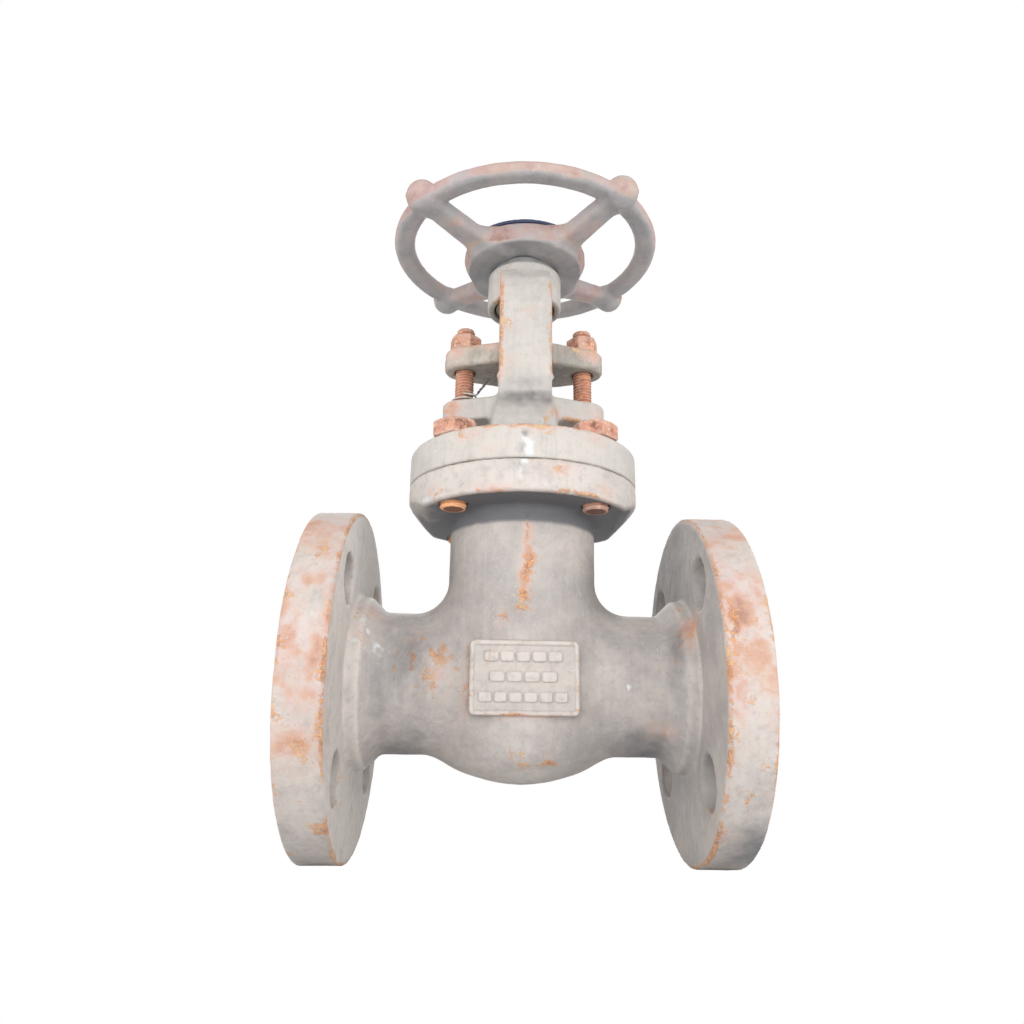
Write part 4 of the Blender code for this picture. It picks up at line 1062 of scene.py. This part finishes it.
def body_steel():
    """The body's steel, with fine grooves round the raised gasket faces."""
    tones = ((0.378, 0.338, 0.312), (0.287, 0.266, 0.253), (0.46, 0.42, 0.39))
    surface = forged("body_steel", tones, 0.0, 0.13, 1.0, 0.2, 0.85)
    parts = surface.node("ShaderNodeSeparateXYZ", surface.place)
    across, up = (surface.times(parts.outputs[i], parts.outputs[i]) for i in (1, 2))
    radius = surface.math("SQRT", surface.add(across, up))
    wave = surface.math("SINE", surface.times(radius, 2 * math.pi / GROOVE_PITCH))
    surface.relief(surface.times(wave, surface.mark("face")), 0.00008)
    return surface.finished()


BODY = body_steel()
BONNET_TONES = ((0.365, 0.342, 0.318), (0.310, 0.294, 0.276), (0.45, 0.415, 0.385))
GLAND_TONES = ((0.335, 0.296, 0.250), (0.225, 0.210, 0.184), (0.42, 0.385, 0.34))
WHEEL_TONES = ((0.302, 0.275, 0.268), (0.244, 0.238, 0.242), (0.42, 0.38, 0.365))
WHEEL_STAINS = ((0.35, 0.272, 0.280), (0.38, 0.290, 0.235), (0.33, 0.225, 0.205))
GREY = forged("bonnet_steel", BONNET_TONES, 0.0, 0.12, 11.0, 0.22, 0.6).finished()
GLAND = forged("gland_steel", GLAND_TONES, 0.04, 0.12, 15.0, 0.35, 1.5).finished()
WHEEL = forged("wheel_iron", WHEEL_TONES, -0.05, 0.06, 21.0, 0.1, 0.6, WHEEL_STAINS).finished()
BOLTING = rusty("rusty_bolting", (0.41, 0.200, 0.145), (0.165, 0.074, 0.060), (0.64, 0.330, 0.140), 31.0)
STUDS = rusty("rusty_studs", (0.35, 0.130, 0.072), (0.185, 0.072, 0.046), (0.56, 0.255, 0.115), 35.0)
BRIGHT = machined("stainless_steel", (0.40, 0.40, 0.385), 0.42, 0.85, 41.0)
DULL_STEEL = machined("stained_steel", (0.34, 0.32, 0.30), 0.48, 0.6, 45.0)
# The bronze is tarnished and also darkened as painted shade, where the sleeve shows in the gap at the boss.
BRONZE = machined("tarnished_and_shaded_bronze", (0.20, 0.165, 0.13), 0.45, 0.7, 51.0)
GRAPHITE = machined("graphite_packing", (0.045, 0.045, 0.050), 0.62, 0.0, 61.0)
WASHER_STEEL = machined("washer_steel", (0.20, 0.20, 0.20), 0.55, 0.2, 65.0)
NAVY = machined("blue_plate", (0.030, 0.040, 0.095), 0.5, 0.1, 71.0)
WIRE = machined("tinned_wire", (0.50, 0.47, 0.42), 0.45, 0.7, 81.0)
DARK_WIRE = machined("blackened_wire", (0.12, 0.10, 0.09), 0.6, 0.3, 91.0)

# ---------------------------------------------------------------- the pieces


def placed(piece, body, node, material):
    piece.data.materials.append(material)
    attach(piece, body)
    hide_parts(node)


BODY_OF = {
    node: body for body, nodes in frame["record"]["behaviour"]["bodies"].items() for node in nodes
}


def piece_for(node, name, field, cell, slot, material, within=None, **details):
    """A detailed piece in the place of one CAD node, on the same body."""
    low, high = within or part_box(node)
    placed(skin(name, field, low, high, cell, **details), BODY_OF[node], node, material)


def finish_kept(nodes, material):
    """CAD nodes whose plain shape is right keep it and get a detailed material."""
    for name in nodes:
        for slot in frame["nodes"][name].material_slots:
            slot.material = material


def wire(name, strands, radius, material):
    """Round wire along each strand's points."""
    curve = bpy.data.curves.new(name, "CURVE")
    curve.dimensions = "3D"
    curve.bevel_depth = radius
    curve.bevel_resolution = 3
    curve.use_fill_caps = True
    for points in strands:
        spline = curve.splines.new("POLY")
        spline.points.add(len(points) - 1)
        for point, place in zip(spline.points, points):
            point.co = (*place, 1)
    obj = bpy.data.objects.new(name, curve)
    bpy.context.scene.collection.objects.link(obj)
    placed(obj, BODY_OF["tag_wire"], "tag_wire", material)


def make_tag_wire():
    """The loop round the left stud, and its two ends twisted together."""
    loop = []
    for step in range(211):
        angle = math.radians(-30 - 2 * step)
        x, y = (STUD_RADIUS + 0.0013) * math.cos(angle), (STUD_RADIUS + 0.0013) * math.sin(angle)
        loop.append((x - STUD_OFFSET, y, 0.1400 + 0.0000114 * step + 0.0006 * math.cos(angle)))
    loop.append((-0.0236, -0.0066, 0.1415))
    wire("tag_wire_loop", [loop], 0.00048, WIRE)
    spine = np.array([(-0.0236, -0.0066, 0.1415), (-0.0222, -0.0088, 0.1428), (-0.0204, -0.0099, 0.1446),
                      (-0.0190, -0.0104, 0.1466), (-0.0174, -0.0117, 0.1483)])
    lengths = np.append(0, np.cumsum(np.linalg.norm(np.diff(spine, axis=0), axis=1)))
    at = np.linspace(0, lengths[-1], 90)
    middle = np.stack([np.interp(at, lengths, spine[:, i]) for i in range(3)], axis=1)
    strands = []
    for start in (0.0, math.pi):
        turn = start + at / 0.0042 * 2 * math.pi
        around = np.stack([np.cos(turn), 0.6 * np.sin(turn), 0.8 * np.sin(turn)], axis=1)
        strands.append((middle + 0.00038 * np.minimum(at / 0.002, 1)[:, None] * around).tolist())
    wire("tag_wire_twist", strands, 0.00036, DARK_WIRE)


piece_for("body", "body_forging", body_field, 0.00132, "forged_body", BODY, roughness=0.00009,
          marks=body_marks)
piece_for("body", "raised_name_pad", name_pad_field, 0.00055, "forged_body", BODY, roughness=0.00006,
          marks=body_marks, within=((-0.0270, -0.0370, -0.0195), (0.0270, -0.0190, 0.0205)))
piece_for("bonnet", "bonnet_forging", bonnet_field, 0.0009, "weathered_grey", GREY, roughness=0.00009,
          marks=bonnet_marks)
piece_for("handwheel", "handwheel_casting", handwheel_field, 0.0008, "handwheel_iron", WHEEL,
          roughness=0.00008, marks=wheel_marks)
piece_for("gland_flange", "gland_flange_forging", gland_flange_field, 0.0006, "weathered_grey", GLAND,
          roughness=0.00012, marks=gland_marks)
for side_name, side in (("left", -1), ("right", 1)):
    stud, nut = f"gland_stud_{side_name}", f"gland_nut_{side_name}"
    piece_for(stud, f"threaded_stud_{side_name}", stud_field(side), 0.00036, "rusty_steel", STUDS,
              roughness=0.00005)
    nut_shape = gland_nut_field(*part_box(nut), math.radians(12 * side))
    piece_for(nut, f"rusted_{nut}", nut_shape, 0.00045, "rusty_steel", BOLTING, roughness=0.0001)
for number in range(1, 5):
    bolt = f"bonnet_bolt_{number}"
    bolt_shape = bonnet_bolt_field(*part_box(bolt), math.radians(23 * number))
    piece_for(bolt, f"rusted_{bolt}", bolt_shape, 0.0005, "rusty_steel", BOLTING, roughness=0.0001,
              marks=bolt_marks)
piece_for("stem", "threaded_stem", stem_field, 0.0005, "bright_steel", BRIGHT)
piece_for("wedge", "machined_wedge", wedge_field, 0.0008, "bright_steel", BRIGHT)
piece_for("yoke_nut", "bronze_sleeve", yoke_nut_field, 0.0005, "bronze", BRONZE)
piece_for("identification_plate", "hub_plate", plate_field, 0.0006, "plate_blue", NAVY)
piece_for("handwheel_nut", "rusted_wheel_nut", wheel_nut_field, 0.0006, "rusty_steel", BOLTING,
          roughness=0.0001)
piece_for("gland", "turned_gland", gland_ring_field(*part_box("gland")), 0.0006, "bright_steel", DULL_STEEL)
piece_for("thrust_washer", "hardened_washer", washer_field(*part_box("thrust_washer")), 0.0006, "bright_steel",
          WASHER_STEEL)
make_tag_wire()
finish_kept([f"packing_ring_{number}" for number in range(1, 6)] + ["bonnet_gasket"], GRAPHITE)
finish_kept(["backseat_bushing", "seat_ring_left", "seat_ring_right"], BRIGHT)

# ---------------------------------------------------------------- camera, light and floor

FLOOR_HALF = 30.0
SEEN_WHITE = 1.0  # of the world and the floor, where the camera looks straight at them
UNSEEN_WORLD = 0.62  # and for the light that they give the object
UNSEEN_FLOOR = 0.82

scene = bpy.context.scene
scene.view_settings.view_transform = "Standard"

camera_data = bpy.data.cameras.new("camera")
camera_data.lens = 28.34
camera_data.sensor_width = 36.0
camera_data.clip_start = 0.01
camera = bpy.data.objects.new("camera", camera_data)
camera.location = (-0.012265, -0.380110, -0.024862)
camera.rotation_euler = Euler([math.radians(a) for a in (105.794, -0.734, -1.2995)], "XYZ")
scene.collection.objects.link(camera)
scene.camera = camera


def area_light(name, place, target, width, watts, colour=(1, 1, 1)):
    data = bpy.data.lights.new(name, "AREA")
    data.shape = "DISK"
    data.size = width
    data.energy = watts
    data.color = colour
    light = bpy.data.objects.new(name, data)
    light.location = place
    light.rotation_euler = (Vector(target) - Vector(place)).to_track_quat("-Z", "Y").to_euler()
    scene.collection.objects.link(light)


area_light("key", (-0.05, -1.25, 0.20), (0, 0, 0.04), 1.0, 10)
area_light("low_front", (0.1, -1.0, -0.02), (0, 0, 0.0), 0.5, 3.0)
area_light("left_fill", (-0.95, -0.50, 0.25), (0, 0, 0.06), 0.8, 7)
area_light("right_fill", (0.95, -0.45, 0.30), (0, 0, 0.06), 0.8, 7)
area_light("back_fill", (0.0, 1.1, 0.7), (0, 0, 0.06), 0.9, 10)


def seen_and_unseen(tree, seen, unseen, output, socket):
    """White where the camera looks straight at it, and darker for the light that it gives the object."""
    path = tree.nodes.new("ShaderNodeLightPath")
    mix = tree.nodes.new("ShaderNodeMixShader")
    tree.links.new(path.outputs["Is Camera Ray"], mix.inputs[0])
    tree.links.new(unseen.outputs[0], mix.inputs[1])
    tree.links.new(seen.outputs[0], mix.inputs[2])
    tree.links.new(mix.outputs[0], output.inputs[socket])


world = bpy.data.worlds.new("studio")
world.use_nodes = True
scene.world = world
tree = world.node_tree
tree.nodes.clear()
backgrounds = []
for level in (SEEN_WHITE, UNSEEN_WORLD):
    background = tree.nodes.new("ShaderNodeBackground")
    background.inputs["Color"].default_value = (level, level, level, 1)
    backgrounds.append(background)
seen_and_unseen(tree, *backgrounds, tree.nodes.new("ShaderNodeOutputWorld"), "Surface")

floor_mesh = bpy.data.meshes.new("floor")
corners = [(x * FLOOR_HALF, y * FLOOR_HALF, BODY_LOW.z) for x, y in ((-1, -1), (1, -1), (1, 1), (-1, 1))]
floor_mesh.from_pydata(corners, [], [(0, 1, 2, 3)])
floor = bpy.data.objects.new("floor", floor_mesh)
scene.collection.objects.link(floor)
floor_material = bpy.data.materials.new("studio_floor")
floor_material.use_nodes = True
tree = floor_material.node_tree
tree.nodes.clear()
bright = tree.nodes.new("ShaderNodeEmission")
bright.inputs["Color"].default_value = (SEEN_WHITE, SEEN_WHITE, SEEN_WHITE, 1)
matt = tree.nodes.new("ShaderNodeBsdfDiffuse")
matt.inputs["Color"].default_value = (UNSEEN_FLOOR, UNSEEN_FLOOR, UNSEEN_FLOOR, 1)
seen_and_unseen(tree, bright, matt, tree.nodes.new("ShaderNodeOutputMaterial"), "Surface")
floor_mesh.materials.append(floor_material)
